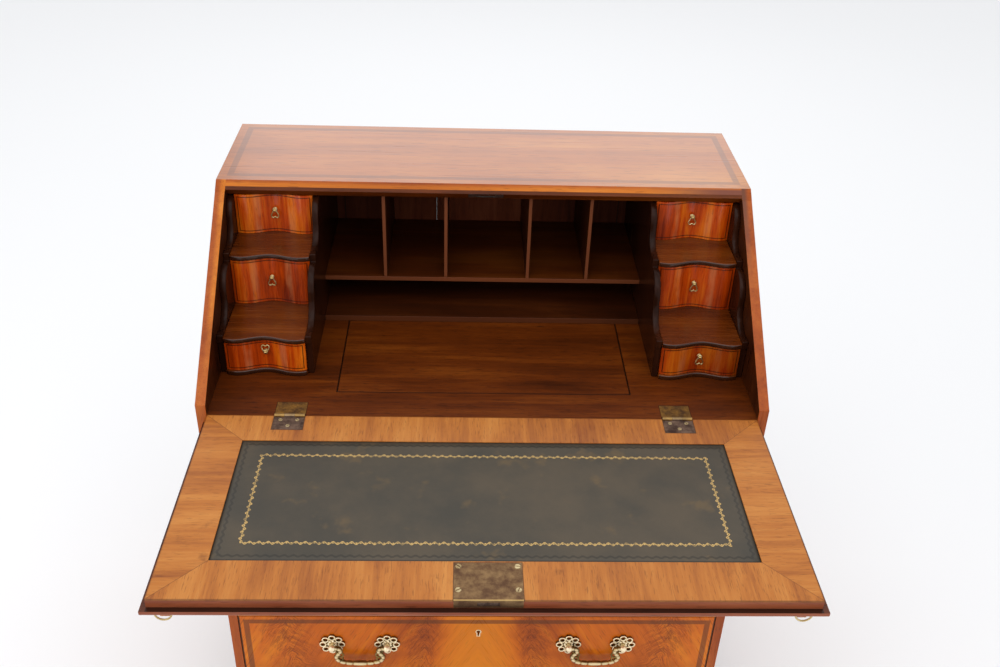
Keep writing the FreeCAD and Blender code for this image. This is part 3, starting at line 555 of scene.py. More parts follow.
def gap_round(from_middle, y, name, half=hinge_half):
    """1 on the fine dark gap round a brass plate that is let into the wood."""
    low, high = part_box(name)
    outside = (abs(from_middle) - half).largest(abs(y - (low.y + high.y) / 2) - (high.y - low.y) / 2)
    return (outside < gap_width) * (outside > -gap_width)


def bed_finish(name, shift):
    """Stained wood, but veneered like the carcase where its front shows under the closed fall."""
    material, place, facing = surface(name)
    colour, lines, height = wood(place, along_x, *walnut, shift=shift, coarse=26.0, pores=0.6)
    veneer = wood(place, along_x, *amber, shift=shift)
    x, y, _ = xyz(place)
    low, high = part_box("well_slide")
    half = high.x - well_tongue
    on_line = abs(abs(x) - half).least(abs(y - low.y)) < groove_half_width
    inside = (abs(x) < half + groove_half_width) * (y > low.y - groove_half_width)
    colour = (on_line * inside * 0.8).between(colour, groove_dark)
    colour = (gap_round(abs(x) - hinge_x, y, "hinge_bed_leaves") * 0.7).between(colour, deep_brown)
    colour = (xyz(facing)[1] * (y < bed_front) < -0.7).between(colour, veneer[0])
    return polished(material, colour, lines, height, gloss=0.42, coat=0.0, shine=0.12)


finishes["writing_bed"] = bed_finish("writing bed wood", (1.0, 1.0, 1.0))
finishes["well_slide"] = bed_finish("well slide wood", (4.0, 2.0, 1.0))
print(len(finishes), "finishes so far")

# %% [markdown]
# ## The dark interior
# Shelves, cheeks and pigeonholes are stained almost to black-brown, with the grain running along each
# board. Their front edges get another colour: on the pigeonholes and the slot a lighter red, which is a
# painted highlight, and on the shelves a darker brown. The back is five boards, so its noise jumps from
# one to the next. What nobody sees, such as runners, is plain unpolished wood.


# %% The dark interior
def front_edge_finish(name, along, tones, edge, share, shift, gloss=0.4, coat=0.0, shine=0.12):
    """Stained wood whose front edges have a colour of their own, for a share of it."""
    material, place, facing = surface(name)
    colour, lines, height = wood(place, along, *tones, shift=shift)
    ahead = xyz(facing)[1] < -0.6
    colour = (ahead * share).between(colour, edge)
    return polished(material, colour, lines, height, gloss=gloss, coat=coat, shine=shine)


back_board_count = 5
back_joint = 0.006
plank_shift = 3.7
hole_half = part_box("pigeonhole_floor")[1].x


def back_finish():
    """Plain boards, each from a plank of its own, with a dark joint between. Painted shade darkens them
    towards the ends.
    """
    material, place, _ = surface("back wood")
    x, y, z = xyz(place)
    low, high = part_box("back_boards")
    board = (x - low.x) / ((high.x - low.x) / back_board_count)
    own = z + board.maths("FLOOR") * plank_shift
    plank = place.node("ShaderNodeCombineXYZ", values={0: x, 1: y, 2: own})
    colour, lines, height = wood(plank, along_z, *russet)
    joint = abs(board - board.maths("ROUND")) < back_joint
    colour = (joint * 0.8).between(colour, deep_brown)
    # Painted shade, darker towards the outer pigeonholes.
    outer = abs(x).ease(hole_half * 0.3, hole_half)
    colour = (outer * 0.5).between(colour, deep_brown)
    return polished(material, colour, lines, height, gloss=0.5, coat=0.0, shine=0.1)


edge_highlight_red = tint("7a442a")
# The lighter red on these front edges is a painted highlight.
slot_x = front_edge_finish("slot wood", along_x, umber, edge_highlight_red, 0.3, (1.0, 1.0, 1.0))
hole_x = front_edge_finish("pigeonhole wood", along_x, bistre, edge_highlight_red, 0.6, (1.0, 1.0, 4.0))
divider_z = front_edge_finish("divider wood", along_z, umber, edge_highlight_red, 0.75, (2.0, 6.0, 1.0))
shelf_x = front_edge_finish("shelf wood", along_x, walnut, deep_brown, 0.8, (1.0, 3.0, 1.0), 0.26, 0.2, 0.35)
cheek_z = simple_wood("cheek wood", along_z, soot, (2.0, 3.0, 1.0), gloss=0.24, coat=0.0, shine=0.1)
guide_y = front_edge_finish("guide wood", along_y, plain, amber[1], 1.0, (6.0, 4.0, 3.0))
rough_x = simple_wood("plain wood across", along_x, plain, (1.0, 4.0, 1.0), gloss=0.6, coat=0.0)
rough_y = simple_wood("plain wood front to back", along_y, plain, (6.0, 4.0, 1.0), gloss=0.6, coat=0.0)
finishes["tower_shelves"] = shelf_x
finishes["tower_cheeks"] = cheek_z
finishes["back_boards"] = back_finish()
finishes["loper_guides"] = guide_y
finishes["drawer_runners"] = rough_y
finishes["pigeonhole_dividers"] = divider_z
finishes["pigeonhole_floor"] = hole_x
finishes["slot_floor"] = slot_x
for name in ("well_tray", "bottom_board"):
    finishes[name] = rough_x
print(len(finishes), "finishes so far")

# %% [markdown]
# ## Metal
# The brass is old: brown where fingers never reach, bright where they rub. A mask could be painted for
# that. Here a point's own place says it, because what is rubbed stands furthest out. On the crests of the
# handles the brightness is partly a painted highlight, and on the top of the hinge knuckles it is only one.


# %% Metal
def aged_brass(name, bright, dull, roughness=0.34, wear_and_highlight=None, polish_and_highlight=tint("d9b878")):
    """Stained brass. A function of x, y and z says where it is brighter: rubbed bright, and on crests and
    knuckles a painted highlight.
    """
    material, place, _ = surface(name)
    stain = noise(place, 70.0, 5.0, 0.65)
    fine = noise(place, 600.0, 2.0)
    mask = stain.ease(0.3, 0.75)
    colour = mask.between(dull, bright)
    if wear_and_highlight:
        colour = wear_and_highlight(*xyz(place)).between(colour, polish_and_highlight)
    sockets = {
        "Base Color": colour,
        "Metallic": 1.0,
        "Roughness": roughness + 0.2 * (1 - mask) + 0.1 * fine,
    }
    return plug(material, sockets, fine, 0.02)


lock_rim_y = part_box("fall_lock")[0].y + 1.2 * mm
lock_rim_z = writing_z - 1.0 * mm
knuckle_z = writing_z + 1.6 * mm
escutcheon_half = 15.0 * mm
rose_crests = (2.0 * mm, 3.4 * mm)
bail_crests = (12.6 * mm, 14.6 * mm)


def lock_rim(x, y, z):
    return (y < lock_rim_y) * (z > lock_rim_z) * 0.7


# A painted highlight along the top of the hinge knuckles.
def knuckle_highlight(x, y, z):
    return (z > knuckle_z) * 0.3


# Crests of roses and bails: rubbed bright, and partly a painted highlight.
def rose_crest(x, y, z):
    return (front_y - y).ease(*rose_crests).largest(abs(x) < escutcheon_half)


def bail_crest(x, y, z):
    return (front_y - y).ease(*bail_crests)


pale_gold = tint("fff0cc")
plate_brass = aged_brass("plate brass", tint("987a56"), tint("6a4e3c"), 0.4, lock_rim)
hinge_gold = aged_brass("bed hinge brass", tint("a47a3c"), tint("584030"), 0.42, knuckle_highlight)
hinge_brown = aged_brass("fall hinge brass", tint("8c7464"), tint("4e3c36"), 0.42, knuckle_highlight)
rose_brass = aged_brass("rose brass", tint("a8884e"), tint("4a3418"), 0.3, rose_crest, pale_gold)
bail_brass = aged_brass("bail brass", tint("a88a50"), tint("5e4624"), 0.28, bail_crest, tint("f0dcae"))
gilt_brass = aged_brass("gilt brass", tint("e6d3a2"), tint("b0965e"), 0.22)
steel = aged_brass("steel", tint("9a9a98"), tint("5c5854"), 0.3)
metal_nodes = {
    "strike_plate": steel,
    "hinge_bed_leaves": hinge_gold,
    "hinge_fall_leaves": hinge_brown,
    "hinge_pins": steel,
    "fall_lock": plate_brass,
    "fall_lock_bolt": hinge_brown,
}
finishes.update(metal_nodes)
for side in sides:
    finishes[f"loper_ring_{side}"] = gilt_brass
    for level in levels:
        finishes[f"drop_{level}_{side}"] = gilt_brass
        finishes[f"bail_{level}_{side}"] = bail_brass
for level in levels:
    finishes[f"brassware_{level}"] = rose_brass
    finishes[f"drawer_bolt_{level}"] = steel
print(len(finishes), "finishes so far")

# %% [markdown]
# ## The border of the fall
# The border of the fall is cross-banded: its grain runs across each length, from the leather to the
# edge, and meets in mitres at the corners. The four lengths are one solid, so the finish works out which
# edge is nearest and turns the grain to it.

# %% The border of the fall
border_lo, border_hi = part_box("fall_banding")
leather_lo, leather_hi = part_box("leather_skiver")
leather_gap = 0.5 * mm
mitre_line = (0.004, 0.012)
mitre_dark = tint("4c2611")
border_rim = 0.03
rim_dark = tint("3c1a0c")
border_grime = tint("5a2c12")


def border_finish():
    """Cross-banded veneer. A share is how far a point lies from the outer edge to the leather."""
    material, place, _ = surface("cross-banded border")
    ends = wood(place, along_x, *honey, shift=(2.0, 2.0, 0.0), coarse=30.0, spread=0.17)
    lengths = wood(place, along_y, *honey, shift=(4.0, 1.0, 0.0), coarse=30.0, spread=0.17)
    x, y, _ = xyz(place)
    side_share = (border_hi.x - abs(x)) / (border_hi.x - leather_hi.x - leather_gap)
    front_share = (y - border_lo.y) / (leather_lo.y - leather_gap - border_lo.y)
    back_share = (border_hi.y - y) / (border_hi.y - leather_hi.y - leather_gap)
    nearest = front_share.least(back_share)
    at_end = side_share < nearest
    mitre = 1 - abs(side_share - nearest).ease(*mitre_line)
    colour = at_end.between(lengths[0], ends[0])
    colour = (mitre * 0.7).between(colour, mitre_dark)
    darker_share = noise(place, 30.0, 4.0, 0.6).ease(0.62, 0.76)
    colour = (darker_share * 0.45).between(colour, border_grime)
    gap = gap_round(abs(x) - hinge_x, y, "hinge_fall_leaves")
    gap = gap.largest(gap_round(x, y, "fall_lock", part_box("fall_lock")[1].x))
    colour = (gap * 0.75).between(colour, deep_brown)
    rim = side_share.least(nearest).ease(0.0, border_rim)
    colour = ((1 - rim) * 0.5).between(colour, rim_dark)
    return polished(material, colour, *lengths[1:], gloss=0.36, coat=0.05)


finishes["fall_banding"] = border_finish()
print("border finished")

# %% [markdown]
# ## The tooled hide
# The leather is tooled with a gilt vine in a frame, and with a blind, ungilt line near its edge. Gilt is
# thinner than paper, so it is drawn as colour: the waving stem is a sine of the way along the frame, and a
# leaf is a small disc in each bend. The blind line is pressed in, so it goes into the bump too.

# %% The tooled hide
vine_inset_x = 29.5 * mm
vine_inset_y = 28.0 * mm
vine_pitch = 10.5 * mm
vine_swing = 2.3 * mm
vine_half_width = 0.7 * mm
spine_half_width = 0.5 * mm
leaf_place = 0.27
leaf_radius = 1.0 * mm
blind_inset = 7.5 * mm
blind_swing = 1.2 * mm
blind_half_width = 2.0 * mm
leather_rim = (0.5 * mm, 3.0 * mm)
hide_dark, hide_pale = tint("3d3931"), tint("504638")
hide_rubbed = tint("685437")
blind_dark = tint("1d1c1a")
gold_leaf = tint("d2b071")


def leather_finish():
    """Worn hide with a gilt vine tooled in a frame, and a blind wavy line near the edge."""
    material, place, _ = surface("tooled leather")
    x, y, _ = xyz(place)
    middle_y = (leather_lo.y + leather_hi.y) / 2
    past_x = abs(x) - (leather_hi.x - vine_inset_x)
    past_y = abs(y - middle_y) - ((leather_hi.y - leather_lo.y) / 2 - vine_inset_y)
    across = past_x.largest(past_y)
    at_end = past_x > past_y
    along = at_end * y + (1 - at_end) * x
    cycle = (along / vine_pitch).maths("FRACT") - 0.5
    wave = (cycle * (2 * math.pi)).maths("SINE")
    stem = abs(across - wave * vine_swing) < vine_half_width
    beside = (abs(cycle) - leaf_place) * vine_pitch
    leaf = beside * beside + across * across < leaf_radius * leaf_radius
    worn = noise(place, 160.0, 2.0).ease(0.3, 0.5)
    spine = (abs(across) < spine_half_width) * 0.5
    gilt = stem.largest(leaf).largest(spine) * (0.35 + 0.65 * worn)
    patch = noise(place, 9.0, 5.0, 0.62)
    wear_and_highlight = noise(place, 23.0, 3.0, 0.6).ease(0.6, 0.74)
    pebble = noise(place, 900.0, 2.0)
    colour = patch.ease(0.3, 0.72).between(hide_dark, hide_pale)
    colour = (wear_and_highlight * 0.5).between(colour, hide_rubbed)
    edge_x = leather_hi.x - abs(x)
    edge_y = (leather_hi.y - leather_lo.y) / 2 - abs(y - middle_y)
    inset = edge_x.least(edge_y) - blind_inset + wave * blind_swing
    blind = 1 - abs(inset).ease(blind_half_width * 0.5, blind_half_width)
    rim = 1 - edge_x.least(edge_y).ease(*leather_rim)
    colour = (blind * 0.5).largest(rim * 0.75).between(colour, blind_dark)
    colour = gilt.between(colour, gold_leaf)
    sockets = {
        "Base Color": colour,
        "Roughness": 0.44 + 0.14 * pebble,
        "Metallic": gilt * 0.7,
        "Specular IOR Level": 0.35,
    }
    return plug(material, sockets, pebble - blind, 0.08)


finishes["leather_skiver"] = leather_finish()
print("hide finished")

# %% [markdown]
# ## Small drawers
# A drawer's front is veneered and polished; its sides, back and bottom are plain wood. One material does
# both, switching at the back of the front board. The small fronts have upright ribbon stripes, with a pale
# sheen painted where they bulge. The brass eye is part of the drawer's solid, so the same finish turns to
# metal there.

# %% Small drawers
small_front_thickness = 11.0 * mm
small_line_inset = 3.6 * mm
small_line_width = 1.4 * mm
small_line_dark = tint("2a0e04")
wave_depth = 9.0 * mm
sheen_share = 0.22
sheen_reach = 7.0 * mm
sheen_pale = tint("cc8456")
darker_red = tint("4a0c00")
darker_fronts = {"small_drawer_lower_right": 0.3}
eye_lift = 4.8 * mm
eye_room = 3.3 * mm
eye_start = 0.3 * mm


def small_drawer_finish(name, number, darker_right):
    """Striped veneer inside a dark line, with a painted sheen on the bulges. The last argument is how much
    darker the front is, most at its right.
    """
    low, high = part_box(name)
    material, place, facing = surface(name + " veneer")
    front = wood(place, along_z, *ribbon, shift=(number * 1.7, 0.0, number * 0.9), coarse=28.0, spread=0.115)
    inside = wood(place, along_y, *plain, shift=(0.0, number * 1.3, 0.0))
    x, y, z = xyz(place)
    flicker = noise(grained(place, along_z, 90.0, 3.0, (number, 0.0, 0.0)), 1.0, 3.0)
    # A painted sheen: pale bands where the front bulges.
    bulge = abs(abs(x - (low.x + high.x) / 2) - (high.x - low.x) * sheen_share)
    painted_sheen = (1 - bulge.ease(sheen_reach * 0.3, sheen_reach)) * flicker.ease(0.3, 0.6)
    figure = (painted_sheen * 0.35).between(front[0], sheen_pale)
    # The front turns darker towards its right, as much as the last argument says.
    figure = ((x.ease(low.x, high.x) + 1) * darker_right).between(figure, darker_red)
    line = inset_line(x, z, (low.x, low.z), (high.x, high.z), small_line_inset, small_line_width)
    ahead = xyz(facing)[1] < -0.5
    colour = (line * ahead * 0.85).between(figure, small_line_dark)
    is_front = y < low.y + wave_depth + small_front_thickness
    colour = is_front.between(inside[0], colour)
    away_x = x - (low.x + high.x) / 2
    away_z = z - ((low.z + high.z) / 2 + eye_lift)
    near_eye = (away_x * away_x + away_z * away_z) < eye_room * eye_room
    brass = near_eye * (y < low.y + wave_depth - eye_start)
    colour = brass.between(colour, eye_brass)
    return polished(material, colour, *front[1:], gloss=0.28, coat=0.3, shine=0.3, metal=brass)


small_names = [f"small_drawer_{level}_{side}" for side in sides for level in levels]
for number, name in enumerate(small_names):
    finishes[name] = small_drawer_finish(name, number, darker_fronts.get(name, 0.0))
print(len(small_names), "small drawers finished")

# %% [markdown]
# ## Long drawers
# The long fronts have a flame figure. It comes from two leaves of veneer opened like a book, so the pattern
# is read at the distance from the middle, and both halves match. Dark plumes rise beside it, with hairs
# that lean outwards.

# %% Long drawers
long_front_thickness = 19.0 * mm
long_band_inset = 11.0 * mm
long_band_width = 8.5 * mm
long_band_dark = tint("5c3014")
long_side_shade = 1.8 * mm
flame_lean = math.radians(28)
flame_cloud = tint("7a300c")
plume_lean = math.radians(34)
plume_stems = (95.0 * mm, 290.0 * mm)
plume_reach = 48.0 * mm
plume_drift = 110.0 * mm
plume_dark = tint("571c06")
glow_reach = 80.0 * mm
glow_gold = tint("e08a18")


def turned(place, angle):
    """Coordinates turned in the plane of a front."""
    return place.node("ShaderNodeMapping", values={"Vector": place, "Rotation": (0.0, angle, 0.0)})


def plume(place, away, y, z, shift):
    """Dark hairs that lean away from a stem, like the barbs of a feather."""
    combed = place.node("ShaderNodeCombineXYZ", values={0: away, 1: y, 2: z})
    hair = noise(grained(turned(combed, plume_lean), along_z, 300.0, 6.0, shift), 1.0, 6.0, 0.72, 1.6)
    return (1 - away.ease(0.0, plume_reach)) * hair.ease(0.38, 0.66)


def long_drawer_finish(name, number):
    """Veneer matched about the middle: leaning grain with dark plumes on each half."""
    low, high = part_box(name)
    material, place, facing = surface(name + " veneer")
    x, y, z = xyz(place)
    matched = place.node("ShaderNodeCombineXYZ", values={0: abs(x), 1: y, 2: z})
    leaning = turned(matched, flame_lean)
    front = wood(leaning, along_z, *flame, shift=(number * 2.1, 0.0, number * 0.7), coarse=15.0, spread=0.18)
    cloud = noise(moved(matched, (3.0, 0.0, number), same_scale), 9.0, 3.0)
    drift = (cloud - 0.5) * plume_drift
    colour = (cloud.ease(0.5, 0.66) * 0.4).between(front[0], flame_cloud)
    for n, stem in enumerate(plume_stems):
        dark = plume(place, abs(abs(x) + drift - stem), y, z, (n, number, 0.0))
        colour = (dark * 0.8).between(colour, plume_dark)
    glow = 1 - (abs(x) + drift).ease(0.0, glow_reach)
    colour = (glow * 0.5).between(colour, glow_gold)
    inside = wood(place, along_y, *plain, shift=(0.0, number * 1.3, 2.0))
    band = inset_line(x, z, (low.x, low.z), (high.x, high.z), long_band_inset, long_band_width)
    ahead = xyz(facing)[1] < -0.5
    colour = (band * ahead * 0.7).between(colour, long_band_dark)
    shaded = (abs(x) > high.x - long_side_shade) * ahead
    colour = (shaded * 0.85).between(colour, deep_brown)
    is_front = y < low.y + long_front_thickness
    colour = is_front.between(inside[0], colour)
    return polished(material, colour, *front[1:], coat=0.05, shine=0.2)


for number, level in enumerate(levels):
    name = f"long_drawer_{level}"
    finishes[name] = long_drawer_finish(name, number)
print(len(finishes), "finishes for", len(nodes), "solids")

# %% [markdown]
# ## Putting the finishes on
# Each solid gets its finish in its only material slot; whatever slot it came with is cleared first. Boards of
# one kind share a finish, which keeps the list of materials short.

# %% Putting the finishes on
for name, solid in nodes.items():
    solid.data.materials.clear()
    solid.data.materials.append(finishes[name])
print("finishes on", len(nodes), "solids")

# %% [markdown]
# ## Soft edges
# Real boards have no knife edges, so those that show are softened by modifiers: Weld joins the loose
# triangles, a planar Decimate turns them back into whole faces, and Bevel rounds what is still sharp. The
# solid's own mesh stays as it is. The writing bed is left sharp: its boards touch, so Weld would join them
# to each other and Bevel would tear the joints.

# %% Soft edges
weld_distance = 0.01 * mm
flat_angle = math.radians(1.0)
sharp_angle = math.radians(40.0)
edge_segments = 2


def soften(name, width):
    solid = nodes[name]
    weld = solid.modifiers.new("weld", "WELD")
    weld.merge_threshold = weld_distance
    whole = solid.modifiers.new("whole faces", "DECIMATE")
    whole.decimate_type = "DISSOLVE"
    whole.angle_limit = flat_angle
    edge = solid.modifiers.new("soft edges", "BEVEL")
    edge.width = width
    edge.segments = edge_segments
    edge.limit_method = "ANGLE"
    edge.angle_limit = sharp_angle
    edge.use_clamp_overlap = True
    edge.harden_normals = True


soft_edges = {
    0.8 * mm: ("side_left", "side_right", "frieze_front", "drawer_rails"),
    0.7 * mm: ("loper_left", "loper_right"),
    0.6 * mm: ("well_slide", "slot_floor", "pigeonhole_floor", "pigeonhole_dividers"),
    1.3 * mm: ("tower_cheeks", "tower_shelves"),
    0.4 * mm: ("top_board",),
}
for width, names in soft_edges.items():
    for name in names:
        soften(name, width)
print("edges softened by", [round(width / mm, 1) for width in soft_edges], "mm")

# %% [markdown]
# ## Tools for small brass
# Cast and bent brass could be curves with a round section, but a curve can't swell into beads. So a bent
# wire is a row of circles, each bridged to the next, and a soft run turns a few corner points into a smooth
# path for it. A piece puts a finished shape into the scene and ties it to the body that it moves with.

# %% Tools for small brass
wire_plane = Vector((0, 1, 0))
wire_sides = 8
loop_points = 12


def bent_wire(shape, points, radii, closed=False):
    """Circles along points that lie in one upright plane, each bridged to the next."""
    count = len(points)
    rings = []
    for i, (point, radius) in enumerate(zip(points, radii)):
        before = points[i - 1] if closed or i > 0 else point
        after = points[(i + 1) % count] if closed or i + 1 < count else point
        along = (after - before).normalized()
        turn = Matrix((wire_plane.cross(along), wire_plane, along)).transposed().to_4x4()
        made = bmesh.ops.create_circle(
            shape,
            segments=wire_sides,
            radius=radius,
            matrix=Matrix.Translation(point) @ turn,
            cap_ends=not closed and i in (0, count - 1),
        )
        rings.append({edge for vert in made["verts"] for edge in vert.link_edges})
    following = rings[1:] + rings[:1] if closed else rings[1:]
    for ring, after in zip(rings, following):
        bmesh.ops.bridge_loops(shape, edges=[*ring, *after])


def soft_run(points, steps, closed=False):
    """Points along a soft curve through the given ones."""
    count = len(points)
    run = []
    for i in range(count if closed else count - 1):
        near = [i - 1, i, i + 1, i + 2]
        a, b, c, d = (points[n % count] if closed else points[min(max(n, 0), count - 1)] for n in near)
        for n in range(steps):
            t = n / steps
            bend = (2 * a - 5 * b + 4 * c - d) * t**2 + (3 * b - 3 * c + d - a) * t**3
            run.append((2 * b + (c - a) * t + bend) / 2)
    return run if closed else [*run, points[-1]]


def circle_run(centre, radius, count=loop_points):
    """Points round an upright circle."""
    turns = [2 * math.pi * n / count for n in range(count)]
    return [centre + Vector((math.cos(a), 0, math.sin(a))) * radius for a in turns]


def wire_ring(shape, centre, radius, wire, count=loop_points):
    bent_wire(shape, circle_run(centre, radius, count), [wire] * count, closed=True)


def ball(shape, centre, radius, segments):
    at = Matrix.Translation(centre)
    rows = segments * 2 // 3
    bmesh.ops.create_uvsphere(shape, u_segments=segments, v_segments=rows, radius=radius, matrix=at)


def piece(name, shape, materials, body, *stands_for):
    """Makes the shape an object on a body. It may stand for solids that are then hidden."""
    bmesh.ops.recalc_face_normals(shape, faces=shape.faces)
    mesh = bpy.data.meshes.new(name)
    shape.to_mesh(mesh)
    shape.free()
    mesh.shade_smooth()
    for material in materials:
        mesh.materials.append(material)
    made = bpy.data.objects.new(name, mesh)
    bpy.context.scene.collection.objects.link(made)
    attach(made, body)
    if stands_for:
        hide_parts(*stands_for)
    return made


print("brass tools ready")

# %% [markdown]
# ## Drawer handles
# Each handle hangs between two roses. A rose is a ring of open loops round a cluster of beads, with a
# bright ball on its post. The bail is drawn in at the top like a swan's neck, with three small scrolls on
# each side. It is cast, but reads as one wire that changes its thickness: beads on the way, and a smooth
# swelling in the middle for the fingers.

# %% Drawer handles
post_half_gap = 42.5 * mm
solid_wire = 3.2 * mm  # the solid's wire has eight sides, so its top is flat
bail_top = solid_wire * math.cos(math.pi / 8)
post_reach = 11.0 * mm
rose_y = front_y - 3.0 * mm
bead_y = front_y - 1.4 * mm
loop_ring = 14.3 * mm
loop_radius = 4.7 * mm
loop_wire = 1.1 * mm
loop_count = 8
bead_ring = 5.6 * mm
bead_radius = 2.9 * mm
bead_count = 7
bead_segments = 9
ball_radius = 5.7 * mm
ball_segments = 15
bail_wire = 2.4 * mm
bail_bead = 1.2 * mm
grip_swell = 1.5 * mm
grip_half = 11.0 * mm
run_steps = 5
# From the middle of the handle, in millimetres: scrolls with their radius, then the points of the neck.
scrolls = [(31.6, -5.2, 4.6), (30.4, -14.4, 5.2), (30.6, -23.6, 4.4)]
scroll_wire = 1.6 * mm
neck = [(41, 0), (34, 0.3), (29.4, -3.5), (30.6, -9.5), (35.4, -15.5), (35.8, -22), (31, -28.4)]
neck += [(22, -32), (11, -33.3)]
grip_middle = (0, -33.5)


def rose(shape, x, z):
    for n in range(loop_count):
        turn = 2 * math.pi * n / loop_count
        centre = Vector((x + loop_ring * math.cos(turn), rose_y, z + loop_ring * math.sin(turn)))
        wire_ring(shape, centre, loop_radius, loop_wire)
    for n in range(bead_count):
        turn = 2 * math.pi * (n + 0.5) / bead_count
        centre = Vector((x + bead_ring * math.cos(turn), bead_y, z + bead_ring * math.sin(turn)))
        ball(shape, centre, bead_radius, bead_segments)
    ball(shape, Vector((x, front_y - post_reach, z)), ball_radius, ball_segments)


def bail_radius(i, x):
    """Beads along the wire, with a groove at each point of the run, and a swelling in the middle."""
    swell = max(0.0, 1 - (x / grip_half) ** 2)
    bead = i % run_steps > 0
    return bail_wire + bail_bead * bead * (1 - swell) + grip_swell * swell


for level in levels:
    shape = bmesh.new()
    for side in sides:
        low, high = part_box(f"bail_{level}_{side}")
        x = (low.x + high.x) / 2
        z = high.z - bail_top
        for way in (-1, 1):
            rose(shape, x + way * post_half_gap, z)
        corners = [*neck, grip_middle, *((-a, b) for a, b in reversed(neck))]
        points = [Vector((x + a * mm, front_y - post_reach, z + b * mm)) for a, b in corners]
        run = soft_run(points, run_steps)
        wire = bmesh.new()
        bent_wire(wire, run, [bail_radius(i, p.x - x) for i, p in enumerate(run)])
        for way in (-1, 1):
            for a, b, radius in scrolls:
                centre = Vector((x + way * a * mm, front_y - post_reach, z + b * mm))
                wire_ring(wire, centre, radius * mm, scroll_wire)
        bail = f"bail_{level}_{side}"
        piece(f"swan_neck_{level}_{side}", wire, [bail_brass], bail, bail)
    piece(f"roses_{level}", shape, [rose_brass], f"long_drawer_{level}")
print("six handles on three drawers")

# %% [markdown]
# ## Drops of the small drawers
# A small drawer is pulled by a heart of wire that hangs in an eye, in front of a small round plate. The
# plate is a flat cone, the eye a ring, and the heart a soft run closed on itself. One of the six was left
# turned up, so it is turned about its eye.

# %% Drops of the small drawers
plate_radius = 3.9 * mm
plate_taper = 0.7
plate_depth = 0.9 * mm
plate_segments = 20
eye_reach = 4.8 * mm
heart = [(0, 0), (1.9, -0.3), (3.6, -3.8), (5.2, -7.6), (4.4, -10.4), (2.2, -11.0), (0, -9.4)]
heart_wire = 0.95 * mm
eye_ring = 2.5 * mm
eye_wire = 1.05 * mm
heart_steps = 4
turned_up = math.radians(-192)
for level in levels:
    for side in sides:
        drawer = f"small_drawer_{level}_{side}"
        low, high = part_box(drawer)
        face_y = low.y + wave_depth
        eye = Vector(((low.x + high.x) / 2, face_y - eye_reach, (low.z + high.z) / 2 + eye_lift))
        plate = bmesh.new()
        facing = Matrix.Translation((eye.x, face_y, eye.z)) @ Matrix.Rotation(math.pi / 2, 4, "X")
        bmesh.ops.create_cone(
            plate,
            cap_ends=True,
            segments=plate_segments,
            radius1=plate_radius,
            radius2=plate_radius * plate_taper,
            depth=2 * plate_depth,
            matrix=facing,
        )
        wire_ring(plate, eye + Vector((0, 0, eye_wire)), eye_ring, eye_wire)
        piece(f"eye_plate_{level}_{side}", plate, [gilt_brass], drawer)
        corners = heart + [(-a, b) for a, b in reversed(heart[1:-1])]
        run = soft_run([eye + Vector((a * mm, 0, b * mm)) for a, b in corners], heart_steps, closed=True)
        wire = bmesh.new()
        bent_wire(wire, run, [heart_wire] * len(run), closed=True)
        if (level, side) == ("lower", "left"):
            about = Matrix.Translation(eye) @ Matrix.Rotation(turned_up, 4, "X") @ Matrix.Translation(-eye)
            bmesh.ops.transform(wire, matrix=about, verts=wire.verts)
        drop = f"drop_{level}_{side}"
        piece(f"heart_{level}_{side}", wire, [gilt_brass], drop, drop)
print("six hearts hung")

# %% [markdown]
# ## Rings of the lopers
# The two slides that carry the fall are drawn out by a small ring at the end of each. A ring takes its
# size from the solid that it stands for.

# %% Rings of the lopers
ring_wire = 1.1 * mm
ring_points = 28
for side in sides:
    node = f"loper_ring_{side}"
    low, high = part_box(node)
    radius = (high.x - low.x) / 2 - ring_wire
    centre = Vector(((low.x + high.x) / 2, (low.y + high.y) / 2, low.z + ring_wire + radius))
    shape = bmesh.new()
    wire_ring(shape, centre, radius, ring_wire, ring_points)
    piece(f"pull_ring_{side}", shape, [gilt_brass], node, node)
print("two rings hung")

# %% [markdown]
# ## Screws
# One screw is modelled and then copied. Its head is a flat cone. Two cuts across it mark off a strip, and
# the strip is pushed down to make the slot, whose floor is painted dark as its shade.

# %% Screws
screw_radius = 2.8 * mm
screw_taper = 0.9
screw_height = 0.5 * mm
screw_segments = 16
lock_screw_size = 1.3
slot_half_width = 0.42 * mm
slot_depth = 0.4 * mm
slot_start = 0.5
slot_turn = 1.9
# Painted shade for the floor of each slot.
slot_shade = aged_brass("slot shade", tint("1c1510"), tint("0e0a08"), 0.6)
screw_brass = aged_brass("screw brass", tint("e0cfa4"), tint("a08860"), 0.34)


def screw_mesh():
    shape = bmesh.new()
    bmesh.ops.create_cone(
        shape,
        cap_ends=True,
        segments=screw_segments,
        radius1=screw_radius,
        radius2=screw_radius * screw_taper,
        depth=screw_height,
    )
    for way in (-1, 1):
        everything = [*shape.verts, *shape.edges, *shape.faces]
        cut_at = (0, way * slot_half_width, 0)
        bmesh.ops.bisect_plane(shape, geom=everything, plane_co=cut_at, plane_no=(0, 1, 0))
    shape.normal_update()
    strip = [f for f in shape.faces if f.normal.z > 0.9 and abs(f.calc_center_median().y) < slot_half_width]
    pushed = bmesh.ops.extrude_discrete_faces(shape, faces=strip)["faces"]
    for face in pushed:
        # The slot's floor gets painted shade.
        face.material_index = 1
        bmesh.ops.translate(shape, vec=(0, 0, -slot_depth), verts=face.verts)
    mesh = bpy.data.meshes.new("screw")
    shape.to_mesh(mesh)
    shape.free()
    return mesh


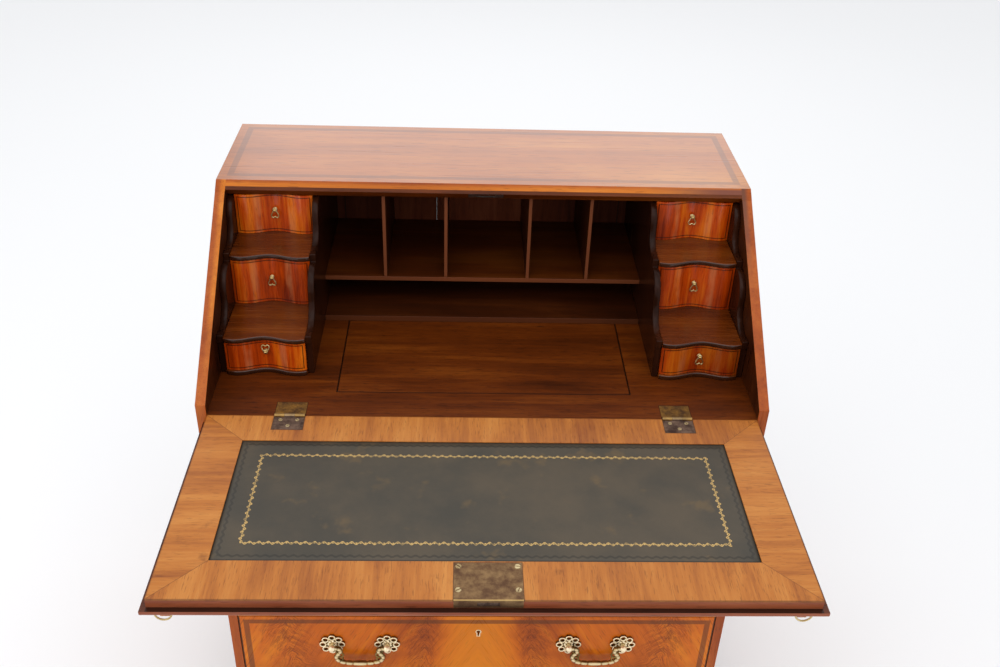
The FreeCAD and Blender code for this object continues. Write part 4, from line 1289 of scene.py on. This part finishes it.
def screws(name, places, body, brass, size=1.0):
    """A row of screws, each with its slot turned its own way."""
    one = screw_mesh()
    shape = bmesh.new()
    for n, place in enumerate(places):
        start = len(shape.verts)
        shape.from_mesh(one)
        shape.verts.ensure_lookup_table()
        turn = Matrix.Rotation(n * slot_turn + slot_start, 4, "Z")
        driven = Matrix.Translation(place) @ turn @ Matrix.Scale(size, 4)
        bmesh.ops.transform(shape, matrix=driven, verts=shape.verts[start:])
    made = piece(name, shape, [brass, slot_shade], body)
    made.data.shade_flat()


leaf_screws = [(-11, 9), (11, 9), (0, 21)]
lock_inset = 5.0 * mm
lock_front_inset = 15.0 * mm
lock_back_inset = 5.5 * mm
lock_lo, lock_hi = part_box("fall_lock")
screw_z = writing_z + screw_height / 4
leaves = [(1, "carcase", "bed_leaf_screws", hinge_gold), (-1, "fall", "fall_leaf_screws", screw_brass)]
for way, body, name, brass in leaves:
    spots = [(side * hinge_x + a * mm, front_y + way * b * mm) for side in (-1, 1) for a, b in leaf_screws]
    screws(name, [Vector((x, y, screw_z)) for x, y in spots], body, brass)
lock_columns = (lock_lo.x + lock_inset, lock_hi.x - lock_inset)
lock_rows = (lock_lo.y + lock_front_inset, lock_hi.y - lock_back_inset)
lock_spots = [Vector((x, y, screw_z)) for x in lock_columns for y in lock_rows]
screws("lock_screws", lock_spots, "fall", screw_brass, lock_screw_size)
print("sixteen screws driven")

# %% [markdown]
# ## The writing leather
# The leather is one thin skin, laid in the border of the fall. It is a grid, dimpled by about a tenth of a
# millimetre where hands have rested, and given its thickness downwards.

# %% The writing leather
leather_dimple = 0.12 * mm
leather_wall = 1.2 * mm
leather_columns, leather_rows = 62, 21
ripple_x, ripple_y = 43, 61
ripple_start = 1.3
leather_size = leather_hi - leather_lo
shape = bmesh.new()
flat = Matrix.Diagonal((leather_size.x / 2, leather_size.y / 2, 1, 1))
middle = Matrix.Translation(((leather_lo + leather_hi) / 2).xy.to_3d() + Vector((0, 0, leather_hi.z)))
bmesh.ops.create_grid(
    shape,
    x_segments=leather_columns,
    y_segments=leather_rows,
    size=1,
    matrix=middle @ flat,
)
for vert in shape.verts:
    ripple = math.sin(vert.co.x * ripple_x) * math.sin(vert.co.y * ripple_y + ripple_start)
    vert.co.z -= leather_dimple * (1 + ripple) / 2
leather = piece("writing_leather", shape, [finishes["leather_skiver"]], "fall", "leather_skiver")
wall = leather.modifiers.new("wall", "SOLIDIFY")
wall.thickness = leather_wall
wall.offset = -1
print("leather", [round(v, 4) for v in leather_size])
